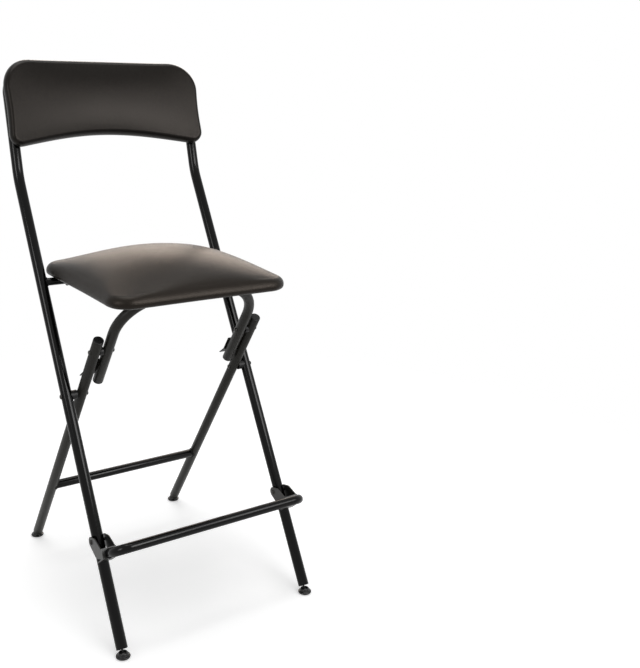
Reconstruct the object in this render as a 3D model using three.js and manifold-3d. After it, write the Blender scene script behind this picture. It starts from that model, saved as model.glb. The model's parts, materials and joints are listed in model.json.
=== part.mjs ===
// Folding bar stool with a back: two crossed tube frames, a seat carried by a folding bow,
// an upholstered seat and back, and a flip-up footrest.
// Millimetres, +Z up. The sitter faces -Y. The origin lies on the floor, under the middle of the
// stool's width and depth.
import * as THREE from 'three';
import { mergeVertices } from 'three/addons/utils/BufferGeometryUtils.js';
import Module from 'manifold-3d';

const wasm = await Module();
wasm.setup();

// Fits
const fit = 0.3; // gap left between pieces that touch
const overrun = 4; // how far a cutter passes the face that it cuts

// Faceting
const tubeSides = 20;
const smallSides = 14;
const bendSteps = 7;
const ballSteps = 5;
const cupSteps = 4;
const padArcSteps = 5;
const padEdgeSteps = 7;

// Tubes: diameters, and the spacing of each pair of legs from axis to axis
const mainTube = 22;
const mainGauge = 414;
const rearTube = 21;
const rearGauge = 351;
const bowTube = 21;
const bowGauge = 298;
const stretcherTube = 19;
const footBarTube = 19;
const seatRailTube = 16;

// Side view of the open stool
const stanceDepth = 525; // from the end of a main leg to the end of a rear leg
const originBack = 22; // from the middle of the stance back to the origin
const legEndHeight = 14.5; // height of a tube's end above the floor
const crossHeight = 434; // height of the pivot where the frames cross
const mainTilt = 30.8; // degrees that the main legs lean back
const upperTilt = 16; // degrees that the back uprights lean back
const backBendDrop = 209; // from the top rail down to where the legs bend into the uprights
const backBendRadius = 150;
const backBendSteps = 3;
const stretcherHeight = 166;
const rearLegTop = 157; // from the crossing pivot to the top end of a rear leg
const foldPivot = 125; // from the crossing pivot to the pivot between rear leg and bow
const bowRailReach = 138; // from that pivot to the bow's cross rail
const bowTail = 89; // from that pivot to the bow's lower ends
const bowBendRadius = 90;
const seatPivotForward = 24; // from the main legs' axis forward to the seat's rear pivot
const seatRailDrop = 15; // from the bow's rail down to the frame's rear rail

// Top of the main frame, behind the back cushion
const topRailHeight = 1047;
const topJointDrop = 44; // from the top rail down to where the uprights take its ends
const topCornerRadius = 40;
const backBow = 27; // how far the middle of the back lies behind its sides
const spigotLength = 14;
const tubeWall = 1.5;
const topRailSteps = 10;

// Rivets and spacers
const rivetShank = 6;
const rivetHead = 10;
const rivetDome = 2.8;
const rivetDomeShares = [[0, 1], [0.5, 0.86], [0.85, 0.5], [1, 0]]; // of the head's radius and dome
const headFlatShare = 0.5; // flat top of a pin's or a screw's head, of its diameter
const holePlay = 0.3; // radial play of a rivet in its hole
const crossSpacerDiameter = 19;
const linkSpacerDiameter = 17;
const saddleDepthShare = 0.55; // how far a spacer's saddle reaches round the tube, of its radius

// End caps of the open tube ends
const capDome = 2.5;
const capShank = 10;
const capShoulderShares = [0.87, 0.7]; // of the tube's radius and the dome

// Stop strips on the bow
const stopStart = 38; // below the fold pivot
const stopLength = 54;
const stopFlareStart = 34; // from the strip's top to where it bends away
const stopFlare = 8;
const stopThickness = 2;
const stopInnerX = 139;
const stopOuterX = 180;

// Swivel glides
const glideDiameter = 28;
const glideBallHeight = 7;
const glideBall = 8;
const glideNeck = 2.8;
const glideSlack = 0.5; // between the ball and its cup
const glideLipTurn = 28; // degrees that the cup reaches past the ball's widest ring
const glideHousing = 20; // diameter of the dome round the ball
const glideTop = 11.4;
const glideMouth = 12.4; // opening at the dome's top
const plugShank = 12;
const glideFootShares = [[0.84, 0], [0.97, 0.12], [1, 0.26], [0.94, 0.42]]; // of radius and top height
const glideDomeShares = [[1, 0.5], [0.98, 0.68], [0.86, 0.87]]; // of the dome's radius and top height

// Footrest
const footPivotHeight = 188.5;
const footBarReach = 89; // in front of the main legs' axis, square to it
const footBarDrop = 29; // below the pivot, along the legs
const footBarBend = 27;
const bracketPlate = 2;
const bracketGap = 2; // between a main leg and each side plate
const bracketReach = 45; // from the pivot to the bracket's front face
const bracketDrop = 37; // from the pivot down to the bracket's tip
const bracketWeb = 2.6;
const bracketTongue = 41.5; // from the pivot down to the web's stop end
const bracketShares = [
  [0, 0, 0.23], [0.13, 0.34, 0.23], [0.54, 0.38, 0.29], [0.7, 0.67, 0.2],
  [0.94, 0.95, 0.05], [0.56, 0.9, 0.06],
]; // circles round which the side plate's edge runs: drop, reach, radius as a share of the reach
const webTopShare = 0.47; // the web's upper end, as a share of the drop

// Seat
const seatWidth = 376;
const seatDepth = 372;
const seatNose = 52.4; // from the bow's rail forward to the seat's front edge
const seatCorner = 36;
const seatRimDrop = 17.5; // from the board's underside down to the rim's
const seatEdge = 24; // height of the upholstered edge
const seatCrown = 36;
const seatDrawIn = 2;
const seatSkirt = 15; // width of the rim round the board's pocket
const seatBoard = 9;
const seatBoardGap = 1; // between the board and the bow's rail
const padCrownPower = 0.7;
const padFloorShares = [0.4, 0.75];
const padEdgeShares = [[0.985, 0.03], [1, 0.3], [1, 0.62], [0.985, 0.86]]; // of outline and edge height
const seatCrownShares = [0.93, 0.84, 0.7, 0.52, 0.32, 0.15];

// Straps that hold the bow's rail under the seat
const strapSpread = 56; // between the two straps
const strapWidth = 20;
const strapThickness = 1.8;
const strapFlange = 13;
const strapPlay = 0.4;

// Rear hinge of the seat
const lugThickness = 3;
const lugX = 153.5; // middle of a lug
const lugRound = 8;
const lugFoot = 12;
const hingeSlack = 0.6; // between a lug and the seat's bracket
const hingeFlange = 20;
const hingeFlangeLength = 28;
const hingePin = 6;
const hingePinHead = 11;
const hingePinDome = 2;

// Back
const backWidth = 446;
const backTopRise = 29; // from the top rail up to the cushion's top
const backCornerDrop = 150; // from the top rail down to the lower corners
const backArch = 27; // rise of the lower edge at its middle
const backCrest = 4; // rise of the upper edge at its middle
const backTopCorner = 64;
const backLowCorner = 24;
const backThickness = 29;
const backCrown = 7;
const backDrawIn = 2;
const backRimShare = 0.955; // outline of the board's pocket, of the pad's outline
const backBoard = 8;
const backCrownShares = [0.9, 0.78, 0.6, 0.4, 0.2];
const backScrewDrops = [119, 75]; // below the top rail
const backScrew = 5;
const backScrewHead = 10;
const backScrewDome = 2.4;

// Directions
const unitX = new THREE.Vector3(1, 0, 0);
const unitY = new THREE.Vector3(0, 1, 0);
const unitZ = new THREE.Vector3(0, 0, 1);
const leaning = (degrees) => {
  const turn = THREE.MathUtils.degToRad(degrees);
  return new THREE.Vector3(0, Math.sin(turn), Math.cos(turn));
};
const squareTo = (up) => new THREE.Vector3(0, -up.z, up.y);
const from = (point, ...moves) => {
  const end = point.clone();
  for (const [direction, distance] of moves) {
    end.addScaledVector(direction, distance);
  }
  return end;
};
const at = (point, x) => point.clone().setX(x);

// Skeleton in the side view
const mainUp = leaning(mainTilt);
const mainFront = squareTo(mainUp);
const mainEnd = new THREE.Vector3(0, -stanceDepth / 2 - originBack, legEndHeight);
const onMain = (height) => from(mainEnd, [mainUp, (height - legEndHeight) / mainUp.z]);
const crossing = onMain(crossHeight);
const rearEnd = new THREE.Vector3(0, stanceDepth / 2 - originBack, legEndHeight);
const rearUp = crossing.clone().sub(rearEnd).normalize();
const rearBack = squareTo(rearUp).negate();
const onRear = (distance) => from(crossing, [rearUp, distance]);
const fold = onRear(foldPivot);
const bowRail = onRear(foldPivot + bowRailReach);
const backBendHeight = topRailHeight - backBendDrop;
const backBend = onMain(backBendHeight);
const upperUp = leaning(upperTilt);
const upperFront = squareTo(upperUp);
const onUpper = (height) => from(backBend, [upperUp, (height - backBendHeight) / upperUp.z]);
const seatRail = onMain(bowRail.z - seatRailDrop);
const seatPivotFoot = onMain(bowRail.z - seatPivotForward * mainFront.z);
const seatPivot = from(seatPivotFoot, [mainFront, seatPivotForward]);
const footPivot = onMain(footPivotHeight);

// Places across the stool
const mainX = mainGauge / 2;
const rearX = rearGauge / 2;
const bowX = bowGauge / 2;
const mainRadius = mainTube / 2;
const rearRadius = rearTube / 2;
const bowRadius = bowTube / 2;
const socketRadius = (tube) => tube / 2 - tubeWall;

// The seat goes with the bow's rail
const seatBoardHeight = bowRail.z + bowRadius + seatBoardGap; // underside of the board
const seatRimHeight = seatBoardHeight - seatRimDrop; // underside of the rim
const seatFront = bowRail.y - seatNose;
const seatRear = seatFront + seatDepth;

// Materials
const finish = (color, roughness, metalness) =>
  new THREE.MeshStandardMaterial({ color, roughness, metalness });
const blackPaint = finish(0x121212, 0.25, 0.3);
const darkPaint = finish(0x35332d, 0.5, 0.3);
const steel = finish(0x6d6a64, 0.4, 0.9);
const blackPlastic = finish(0x161616, 0.6, 0);
const vinyl = finish(0x5f5852, 0.45, 0);
const darkVinyl = finish(0x2b2622, 0.45, 0);
const boardPaint = finish(0x1c1a18, 0.8, 0);

// A curve that is straight between its stations
class StationPath extends THREE.Curve {
  constructor(stations) {
    super();
    this.stations = stations;
    this.last = stations.length - 1;
  }

  getPoint(t, target = new THREE.Vector3()) {
    const index = Math.min(Math.floor(t * this.last + Number.EPSILON), this.last - 1);
    return target.lerpVectors(this.stations[index], this.stations[index + 1], t * this.last - index);
  }

  getPointAt(u, target = new THREE.Vector3()) {
    return target.copy(this.stations[Math.round(u * this.last)]);
  }

  getTangentAt(u, target = new THREE.Vector3()) {
    const index = Math.round(u * this.last);
    const before = this.stations[Math.max(index - 1, 0)];
    const here = this.stations[index];
    const after = this.stations[Math.min(index + 1, this.last)];
    const into = here.clone().sub(before).normalize();
    const out = after.clone().sub(here).normalize();
    return target.addVectors(into, out).normalize();
  }
}

// Stations along straight runs whose corners are rounded by arcs
function roundedRoute(corners, radius, steps) {
  const stations = [corners[0].clone()];
  for (let i = 1; i < corners.length - 1; i += 1) {
    const into = corners[i].clone().sub(corners[i - 1]).normalize();
    const out = corners[i + 1].clone().sub(corners[i]).normalize();
    const turn = into.angleTo(out);
    const axis = into.clone().cross(out).normalize();
    const start = from(corners[i], [into, -radius * Math.tan(turn / 2)]);
    const spoke = into.clone().cross(axis).multiplyScalar(radius);
    const centre = start.clone().sub(spoke);
    for (let k = 0; k <= steps; k += 1) {
      stations.push(spoke.clone().applyAxisAngle(axis, (turn * k) / steps).add(centre));
    }
  }
  stations.push(corners[corners.length - 1].clone());
  return stations;
}

function circlePoints(radius, sides, centre = new THREE.Vector2()) {
  return Array.from({ length: sides }, (_, i) => {
    const turn = (2 * Math.PI * i) / sides;
    return new THREE.Vector2(radius * Math.cos(turn), radius * Math.sin(turn)).add(centre);
  });
}

function tube(stations, diameter, sides = tubeSides) {
  return new THREE.ExtrudeGeometry(new THREE.Shape(circlePoints(diameter / 2, sides)), {
    steps: stations.length - 1,
    bevelEnabled: false,
    extrudePath: new StationPath(stations),
  });
}

const rod = (start, end, diameter, sides = tubeSides) => tube([start, end], diameter, sides);

// A plate lying square to X, its outline given in Y and Z
function plate(outline, lowX, highX) {
  const geometry = new THREE.ExtrudeGeometry(outline, {
    depth: highX - lowX,
    bevelEnabled: false,
    curveSegments: smallSides / 2,
  });
  geometry.applyMatrix4(new THREE.Matrix4().makeBasis(unitY, unitZ, unitX));
  return geometry.translate(lowX, 0, 0);
}

// A turned piece: its profile of radius and height, stood on a point along an axis
function turned(profile, origin, axis, sides = smallSides) {
  const points = profile.map(([radius, height]) => new THREE.Vector2(radius, height));
  const geometry = new THREE.LatheGeometry(points, sides);
  geometry.applyQuaternion(new THREE.Quaternion().setFromUnitVectors(unitY, axis));
  return geometry.translate(origin.x, origin.y, origin.z);
}

// A skin over rings of equal counts, closed by a point at each end
function loft(startPole, rings, endPole) {
  const count = rings[0].length;
  const points = [startPole, ...rings.flat(), endPole];
  const last = points.length - 1;
  const index = [];
  for (let i = 0; i < count; i += 1) {
    const next = (i + 1) % count;
    index.push(0, 1 + next, 1 + i);
    for (let ring = 0; ring < rings.length - 1; ring += 1) {
      const low = 1 + ring * count;
      const high = low + count;
      index.push(low + i, low + next, high + i, low + next, high + next, high + i);
    }
    const top = last - count;
    index.push(top + i, top + next, last);
  }
  const geometry = new THREE.BufferGeometry().setFromPoints(points);
  geometry.setIndex(index);
  return geometry;
}

// Solids for cutting and joining
function solid(geometry) {
  const bare = geometry.clone();
  bare.deleteAttribute('normal');
  bare.deleteAttribute('uv');
  const merged = mergeVertices(bare);
  const vertices = new Float32Array(merged.attributes.position.array);
  const triangles = new Uint32Array(merged.index.array);
  if (signedVolume(vertices, triangles) < 0) {
    for (let i = 0; i < triangles.length; i += 3) {
      [triangles[i], triangles[i + 1]] = [triangles[i + 1], triangles[i]];
    }
  }
  return new wasm.Manifold(new wasm.Mesh({
    numProp: 3,
    vertProperties: vertices,
    triVerts: triangles,
  }));
}

function signedVolume(vertices, triangles) {
  const corner = (i) => new THREE.Vector3().fromArray(vertices, 3 * triangles[i]);
  let total = 0;
  for (let i = 0; i < triangles.length; i += 3) {
    total += corner(i).dot(corner(i + 1).cross(corner(i + 2)));
  }
  return total / 6;
}

function geometryOf(body) {
  const mesh = body.getMesh();
  const geometry = new THREE.BufferGeometry();
  geometry.setAttribute('position', new THREE.BufferAttribute(mesh.vertProperties, 3));
  geometry.setIndex(new THREE.BufferAttribute(mesh.triVerts, 1));
  return geometry;
}

const cut = (body, ...cutters) => cutters.reduce((left, cutter) => left.subtract(solid(cutter)), body);
const join = (body, ...others) => others.reduce((left, other) => left.add(solid(other)), body);

// The two sides of the stool
const sides = [['left', -1], ['right', 1]];

// A cutter for a cross hole at a side-view point, through everything between two places across
const crossHole = (point, lowX, highX, diameter) =>
  rod(at(point, lowX), at(point, highX), diameter, smallSides);

// A cutter for the blind socket in a tube's end
const socket = (end, inward, depth, diameter) =>
  rod(from(end, [inward, -overrun]), from(end, [inward, depth]), 2 * socketRadius(diameter));

// Outline that runs round a set of circles
function beltOutline(circles) {
  const cloud = circles.flatMap(([centre, radius]) => circlePoints(radius, 2 * smallSides, centre));
  cloud.sort((a, b) => a.x - b.x || a.y - b.y);
  const chain = (points) => {
    const hull = [];
    for (const point of points) {
      while (hull.length > 1) {
        const [a, b] = hull.slice(-2);
        if (b.clone().sub(a).cross(point.clone().sub(a)) > 0) break;
        hull.pop();
      }
      hull.push(point);
    }
    return hull.slice(0, -1);
  };
  return new THREE.Shape([...chain(cloud), ...chain([...cloud].reverse())]);
}

const flat = (point) => new THREE.Vector2(point.y, point.z);

// Main frame: two legs whose tops bend into the back uprights, and the bowed top rail
const holeDiameter = rivetShank + 2 * holePlay;
const topJointHeight = topRailHeight - topJointDrop;
const upperTop = onUpper(topJointHeight);
const backScrewHeights = backScrewDrops.map((drop) => topRailHeight - drop);

function mainLeg(side) {
  const x = side * mainX;
  const route = roundedRoute(
    [at(mainEnd, x), at(backBend, x), at(upperTop, x)], backBendRadius, backBendSteps);
  const across = [x - mainTube, x + mainTube];
  const screwHoles = backScrewHeights.map((height) => {
    const middle = at(onUpper(height), x);
    return rod(from(middle, [upperFront, -mainTube]), from(middle, [upperFront, mainTube]),
      backScrew + 2 * fit, smallSides);
  });
  return cut(
    solid(tube(route, mainTube)),
    crossHole(crossing, ...across, holeDiameter),
    crossHole(footPivot, ...across, holeDiameter),
    socket(at(mainEnd, x), mainUp, plugShank + fit, mainTube),
    socket(at(upperTop, x), upperUp.clone().negate(), spigotLength + fit, mainTube),
    ...screwHoles,
  );
}

// Place on the back: across, up along the uprights from their bend, and forward of their axis
const backDip = (x) => backBow * (1 - (x / mainX) ** 2);
const onBack = (x, up, forward) =>
  from(at(backBend, x), [upperUp, up], [upperFront, forward - backDip(x)]);
const upTo = (height) => (height - backBendHeight) / upperUp.z;

function frameTop() {
  const start = upTo(topJointHeight) + fit;
  const cornerUp = upTo(topRailHeight) - topCornerRadius;
  const stations = [onBack(-mainX, start, 0)];
  for (let k = 0; k <= bendSteps; k += 1) {
    const turn = (Math.PI / 2) * (k / bendSteps);
    const x = -mainX + topCornerRadius * (1 - Math.cos(turn));
    stations.push(onBack(x, cornerUp + topCornerRadius * Math.sin(turn), 0));
  }
  const halfRail = mainX - topCornerRadius;
  for (let k = 1; k < topRailSteps; k += 1) {
    stations.push(onBack(-halfRail + (2 * halfRail * k) / topRailSteps, upTo(topRailHeight), 0));
  }
  const mirrored = stations.slice(0, bendSteps + 2).reverse()
    .map((station) => at(station, -station.x));
  const route = [...stations, ...mirrored];
  let body = solid(tube(route, mainTube));
  for (const [, side] of sides) {
    const end = onBack(side * mainX, start, 0);
    body = join(body, rod(from(end, [upperUp, -spigotLength]), from(end, [upperUp, overrun]),
      2 * (socketRadius(mainTube) - fit)));
  }
  return body;
}

// A cross tube whose ends are coped to sit on the two tubes that it joins
function copedRail(centre, diameter, endX, carrier, carrierUp) {
  const rail = solid(rod(at(centre, -endX), at(centre, endX), diameter));
  const cutters = sides.map(([, side]) => rod(
    from(at(centre, side * endX), [carrierUp, -carrier]),
    from(at(centre, side * endX), [carrierUp, carrier]), carrier + 2 * fit));
  const trimmed = cut(rail, ...cutters);
  return trimmed.decompose().reduce((a, b) => (a.volume() > b.volume() ? a : b));
}

// Rear frame
function rearLeg(side) {
  const x = side * rearX;
  const top = at(onRear(rearLegTop), x);
  const across = [x - rearTube, x + rearTube];
  return cut(
    solid(rod(at(rearEnd, x), top, rearTube)),
    crossHole(crossing, ...across, holeDiameter),
    crossHole(fold, ...across, holeDiameter),
    socket(at(rearEnd, x), rearUp, plugShank + fit, rearTube),
    socket(top, rearUp.clone().negate(), capShank + fit, rearTube),
  );
}

// Bow: two legs that bend into the rail under the seat's front
const bowEnd = from(fold, [rearUp, -bowTail]);
function bow() {
  const corners = [at(bowEnd, -bowX), at(bowRail, -bowX), at(bowRail, bowX), at(bowEnd, bowX)];
  const cutters = sides.flatMap(([, side]) => [
    crossHole(fold, side * bowX - bowTube, side * bowX + bowTube, holeDiameter),
    socket(at(bowEnd, side * bowX), rearUp, capShank + fit, bowTube),
  ]);
  return cut(solid(tube(roundedRoute(corners, bowBendRadius, bendSteps), bowTube)), ...cutters);
}

// A domed rivet lying across the stool at a side-view point
function rivet(point, lowX, highX, shank = rivetShank, head = rivetHead, dome = rivetDome) {
  const span = highX - lowX;
  const low = rivetDomeShares.map(([out, up]) => [(out * head) / 2, -up * dome]);
  const high = rivetDomeShares.map(([out, up]) => [(out * head) / 2, span + up * dome]).reverse();
  return turned([...low, [shank / 2, 0], [shank / 2, span], ...high], at(point, lowX), unitX);
}

// A short pin with one domed head, its shank pointing inwards or outwards
function headedPin(point, headX, endX) {
  const direction = unitX.clone().multiplyScalar(Math.sign(headX - endX));
  const length = Math.abs(headX - endX);
  const profile = [[0, 0], [hingePin / 2, 0], [hingePin / 2, length], [hingePinHead / 2, length],
    [(headFlatShare * hingePinHead) / 2, length + hingePinDome], [0, length + hingePinDome]];
  return turned(profile, at(point, endX), direction);
}

// Spacer ring between two tubes, saddled onto the tube that carries it
function saddleSpacer(point, faceX, carrierX, carrierUp, carrierTube, diameter) {
  const outward = Math.sign(carrierX - faceX);
  const deepX = carrierX - outward * (carrierTube / 2) * (1 - saddleDepthShare);
  const ring = solid(rod(at(point, faceX), at(point, deepX), diameter));
  return cut(
    ring,
    crossHole(point, faceX - overrun, faceX + overrun, holeDiameter),
    crossHole(point, Math.min(faceX, deepX), Math.max(faceX, deepX), holeDiameter),
    rod(from(at(point, carrierX), [carrierUp, -carrierTube]),
      from(at(point, carrierX), [carrierUp, carrierTube]), carrierTube + 2 * fit),
  );
}

// Cap with a shank, closing the end of a tube
function endCap(end, outward, diameter) {
  const shank = socketRadius(diameter) - fit;
  const radius = diameter / 2;
  const [shoulderOut, shoulderUp] = capShoulderShares;
  return turned([[0, -capShank], [shank, -capShank], [shank, fit], [radius, fit],
    [radius * shoulderOut, capDome * shoulderUp], [0, capDome]], end, outward);
}

// Strip on the bow that stops it against the back of the rear leg
function stopStrip(side) {
  const face = Math.max(bowRadius, rearRadius) + fit;
  const top = from(fold, [rearUp, -stopStart]);
  const place = (down, back) => flat(from(top, [rearUp, -down], [rearBack, back]));
  const outline = new THREE.Shape([
    place(0, face),
    place(stopFlareStart, face),
    place(stopLength, face + stopFlare),
    place(stopLength, face + stopFlare + stopThickness),
    place(stopFlareStart, face + stopThickness),
    place(0, face + stopThickness),
  ]);
  const [lowX, highX] = [side * stopInnerX, side * stopOuterX].sort((a, b) => a - b);
  return plate(outline, lowX, highX);
}

// Plug in a leg's end, with the ball on which the glide swivels
const ballOf = (end, up) => from(end, [up, -(legEndHeight - glideBallHeight) / up.z]);

// Points of an arc in a profile, from the lowest point of its circle up through a turn
const arcProfile = (radius, middle, turn, steps) => Array.from({ length: steps }, (_, k) => {
  const angle = (turn * (k + 1)) / steps;
  return [radius * Math.sin(angle), middle - radius * Math.cos(angle)];
});

function footPlug(end, up, diameter) {
  const shank = socketRadius(diameter) - fit;
  const ball = glideBall / 2;
  const neck = glideNeck / 2;
  const ballMiddle = -(legEndHeight - glideBallHeight) / up.z;
  return turned([
    [0, ballMiddle - ball],
    ...arcProfile(ball, ballMiddle, Math.PI - Math.asin(neck / ball), ballSteps),
    [neck, 0],
    [shank, 0],
    [shank, plugShank],
    [0, plugShank],
  ], end, up);
}

// Swivelling glide on the floor: a wide foot, and a dome whose cup holds the plug's ball
function glide(end, up) {
  const floor = ballOf(end, up).setX(end.x).setZ(0);
  const scaled = (shares, diameter) =>
    shares.map(([out, high]) => [(out * diameter) / 2, high * glideTop]);
  const cup = glideBall / 2 + glideSlack;
  const lipTurn = Math.PI / 2 + THREE.MathUtils.degToRad(glideLipTurn);
  return turned([
    [0, 0],
    ...scaled(glideFootShares, glideDiameter),
    ...scaled(glideDomeShares, glideHousing),
    [glideMouth / 2, glideTop],
    ...arcProfile(cup, glideBallHeight, lipTurn, cupSteps).reverse(),
    [0, glideBallHeight - cup],
  ], floor, unitZ, tubeSides);
}

// Footrest: a bar with swept ends, carried on two brackets that straddle the main legs
const onFoot = (drop, reach) => from(footPivot, [mainUp, -drop], [mainFront, reach]);
function footrestBar() {
  const root = onFoot(footBarDrop, bracketReach + fit);
  const front = onFoot(footBarDrop, footBarReach);
  const corners = [at(root, -mainX), at(front, -mainX), at(front, mainX), at(root, mainX)];
  return solid(tube(roundedRoute(corners, footBarBend, bendSteps), footBarTube));
}

function footrestBracket(side) {
  const circles = bracketShares.map(([drop, reach, radius]) =>
    [flat(onFoot(drop * bracketDrop, reach * bracketReach)), radius * bracketReach]);
  const outline = beltOutline(circles);
  const inner = mainRadius + bracketGap;
  const outer = inner + bracketPlate;
  const x = side * mainX;
  const innerPlate = plate(outline, x - outer, x - inner);
  const outerPlate = plate(outline, x + inner, x + outer);
  const place = (drop, reach) => flat(onFoot(drop, reach));
  const stopReach = mainRadius + fit;
  const web = new THREE.Shape([
    place(bracketDrop * webTopShare, bracketReach),
    place(bracketDrop, bracketReach),
    place(bracketTongue, stopReach),
    place(bracketTongue - bracketWeb, stopReach),
    place(bracketDrop - bracketWeb, bracketReach - bracketWeb),
    place(bracketDrop * webTopShare, bracketReach - bracketWeb),
  ]);
  return cut(
    join(solid(innerPlate), outerPlate, plate(web, x - outer, x + outer)),
    crossHole(footPivot, x - outer - overrun, x + outer + overrun, holeDiameter),
  );
}

// Rounded outline with sides that draw in between the corners
function padOutline({ halfWidth, low, high, lowCorner, highCorner, drawIn, arch, crest }) {
  const rises = [drawIn, -crest, drawIn, arch];
  const corners = [
    [halfWidth, low, lowCorner, -Math.PI / 2],
    [halfWidth, high, highCorner, 0],
    [-halfWidth, high, highCorner, Math.PI / 2],
    [-halfWidth, low, lowCorner, Math.PI],
  ];
  const arcs = corners.map(([x, y, radius, start]) => {
    const centre = new THREE.Vector2(x - Math.sign(x) * radius, y === low ? y + radius : y - radius);
    return Array.from({ length: padArcSteps + 1 }, (_, k) => {
      const turn = start + (Math.PI / 2) * (k / padArcSteps);
      return new THREE.Vector2(radius * Math.cos(turn), radius * Math.sin(turn)).add(centre);
    });
  });
  const points = [];
  arcs.forEach((arc, i) => {
    points.push(...arc);
    const startPoint = arc[arc.length - 1];
    const endPoint = arcs[(i + 1) % arcs.length][0];
    const along = endPoint.clone().sub(startPoint).normalize();
    const inward = new THREE.Vector2(-along.y, along.x);
    for (let k = 1; k < padEdgeSteps; k += 1) {
      const share = k / padEdgeSteps;
      points.push(startPoint.clone().lerp(endPoint, share)
        .addScaledVector(inward, rises[i] * Math.sin(Math.PI * share)));
    }
  });
  return points;
}

// Stations of a pad from the pocket in its underside round its edge to the top of its crown
function padStations({ pocketShare, floor, rim, edge, crown, crownShares }) {
  return [
    ...[...padFloorShares, pocketShare].map((share) => [share, floor]),
    [pocketShare, rim],
    ...padEdgeShares.map(([share, high]) => [share, rim + high * edge]),
    ...crownShares.map((share) => [share, rim + edge + crown * (1 - share ** 2) ** padCrownPower]),
  ];
}

// Seat
const seatOutline = padOutline({
  halfWidth: seatWidth / 2,
  low: seatFront,
  high: seatRear,
  lowCorner: seatCorner,
  highCorner: seatCorner,
  drawIn: seatDrawIn,
  arch: seatDrawIn,
  crest: -seatDrawIn,
});
const seatMiddle = (seatFront + seatRear) / 2;
const onSeat = (point, share, height) => new THREE.Vector3(
  point.x * share, seatMiddle + (point.y - seatMiddle) * share, height);
const seatPocketShare = 1 - (2 * seatSkirt) / seatWidth;

function seatCushion() {
  const floor = seatBoardHeight + seatBoard + fit;
  const stations = padStations({
    pocketShare: seatPocketShare,
    floor,
    rim: seatRimHeight,
    edge: seatEdge,
    crown: seatCrown,
    crownShares: seatCrownShares,
  });
  const rings = stations.map(([share, height]) =>
    seatOutline.map((point) => onSeat(point, share, height)));
  const pole = (height) => new THREE.Vector3(0, seatMiddle, height);
  return solid(loft(pole(floor), rings, pole(seatRimHeight + seatEdge + seatCrown)));
}

function seatBoardPanel() {
  const share = seatPocketShare - (2 * fit) / seatWidth;
  const shape = new THREE.Shape(seatOutline.map((point) =>
    new THREE.Vector2(point.x * share, seatMiddle + (point.y - seatMiddle) * share)));
  const panel = new THREE.ExtrudeGeometry(shape, { depth: seatBoard, bevelEnabled: false });
  return panel.translate(0, 0, seatBoardHeight);
}

// Strap that holds the bow's rail up against the seat board, and lets it turn
function railStrap(x) {
  const inner = bowRadius + strapPlay;
  const outer = inner + strapThickness;
  const top = seatBoardHeight - fit - bowRail.z;
  const under = top - strapThickness;
  const reach = outer + strapFlange;
  const outline = new THREE.Shape();
  outline.moveTo(reach, top);
  outline.lineTo(inner, top);
  outline.lineTo(inner, 0);
  outline.absarc(0, 0, inner, 0, -Math.PI, true);
  outline.lineTo(-inner, top);
  outline.lineTo(-reach, top);
  outline.lineTo(-reach, under);
  outline.lineTo(-outer, under);
  outline.lineTo(-outer, 0);
  outline.absarc(0, 0, outer, -Math.PI, 0, false);
  outline.lineTo(outer, under);
  outline.lineTo(reach, under);
  const strap = plate(outline, x - strapWidth / 2, x + strapWidth / 2);
  return strap.translate(0, bowRail.y, bowRail.z);
}

// Rear hinge: lugs on the frame's rail, brackets under the seat, and a pin in each
const lugInnerX = lugX - lugThickness / 2;
const lugOuterX = lugX + lugThickness / 2;
const bracketOuterX = lugInnerX - hingeSlack;
const bracketInnerX = bracketOuterX - lugThickness;
const acrossPair = (side, innerX, outerX) => [side * innerX, side * outerX].sort((a, b) => a - b);

function hingeLug(side) {
  const outline = beltOutline([[flat(seatPivot), lugRound], [flat(seatRail), lugFoot]]);
  const [lowX, highX] = acrossPair(side, lugInnerX, lugOuterX);
  return cut(
    solid(plate(outline, lowX, highX)),
    crossHole(seatPivot, lowX - overrun, highX + overrun, hingePin + 2 * fit),
    rod(at(seatRail, lowX - overrun), at(seatRail, highX + overrun), seatRailTube + 2 * fit),
  );
}

function hingeBracket(side) {
  const top = seatBoardHeight - fit;
  const shoulder = lugRound;
  const outline = beltOutline([
    [flat(seatPivot), lugRound],
    [new THREE.Vector2(seatPivot.y - shoulder, top - fit), fit],
    [new THREE.Vector2(seatPivot.y + shoulder, top - fit), fit],
  ]);
  const [lowX, highX] = acrossPair(side, bracketInnerX, bracketOuterX);
  const [flangeLowX, flangeHighX] = acrossPair(side, bracketOuterX - hingeFlange, bracketOuterX);
  const half = hingeFlangeLength / 2;
  const flange = new THREE.Shape([
    new THREE.Vector2(seatPivot.y - half, top - strapThickness),
    new THREE.Vector2(seatPivot.y + half, top - strapThickness),
    new THREE.Vector2(seatPivot.y + half, top),
    new THREE.Vector2(seatPivot.y - half, top),
  ]);
  return cut(
    join(solid(plate(outline, lowX, highX)), plate(flange, flangeLowX, flangeHighX)),
    crossHole(seatPivot, lowX - overrun, highX + overrun, hingePin + 2 * fit),
  );
}

const pinMeet = lugInnerX - hingeSlack / 2;
const framePin = (side) => headedPin(seatPivot, side * (lugOuterX + fit), side * (pinMeet + fit / 2));
const seatPin = (side) => headedPin(seatPivot, side * (bracketInnerX - fit), side * (pinMeet - fit / 2));

// Back
const backLow = upTo(topRailHeight - backCornerDrop);
const backHigh = upTo(topRailHeight + backTopRise);
const backOutline = padOutline({
  halfWidth: backWidth / 2,
  low: backLow,
  high: backHigh,
  lowCorner: backLowCorner,
  highCorner: backTopCorner,
  drawIn: backDrawIn,
  arch: backArch,
  crest: backCrest,
});
const backMiddle = (backLow + backHigh) / 2;
const backRearFace = (mainRadius + fit) / Math.cos(Math.atan((2 * backBow) / mainX));
const onPad = (point, share, forward) => onBack(
  point.x * share, backMiddle + (point.y - backMiddle) * share, forward);

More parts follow.
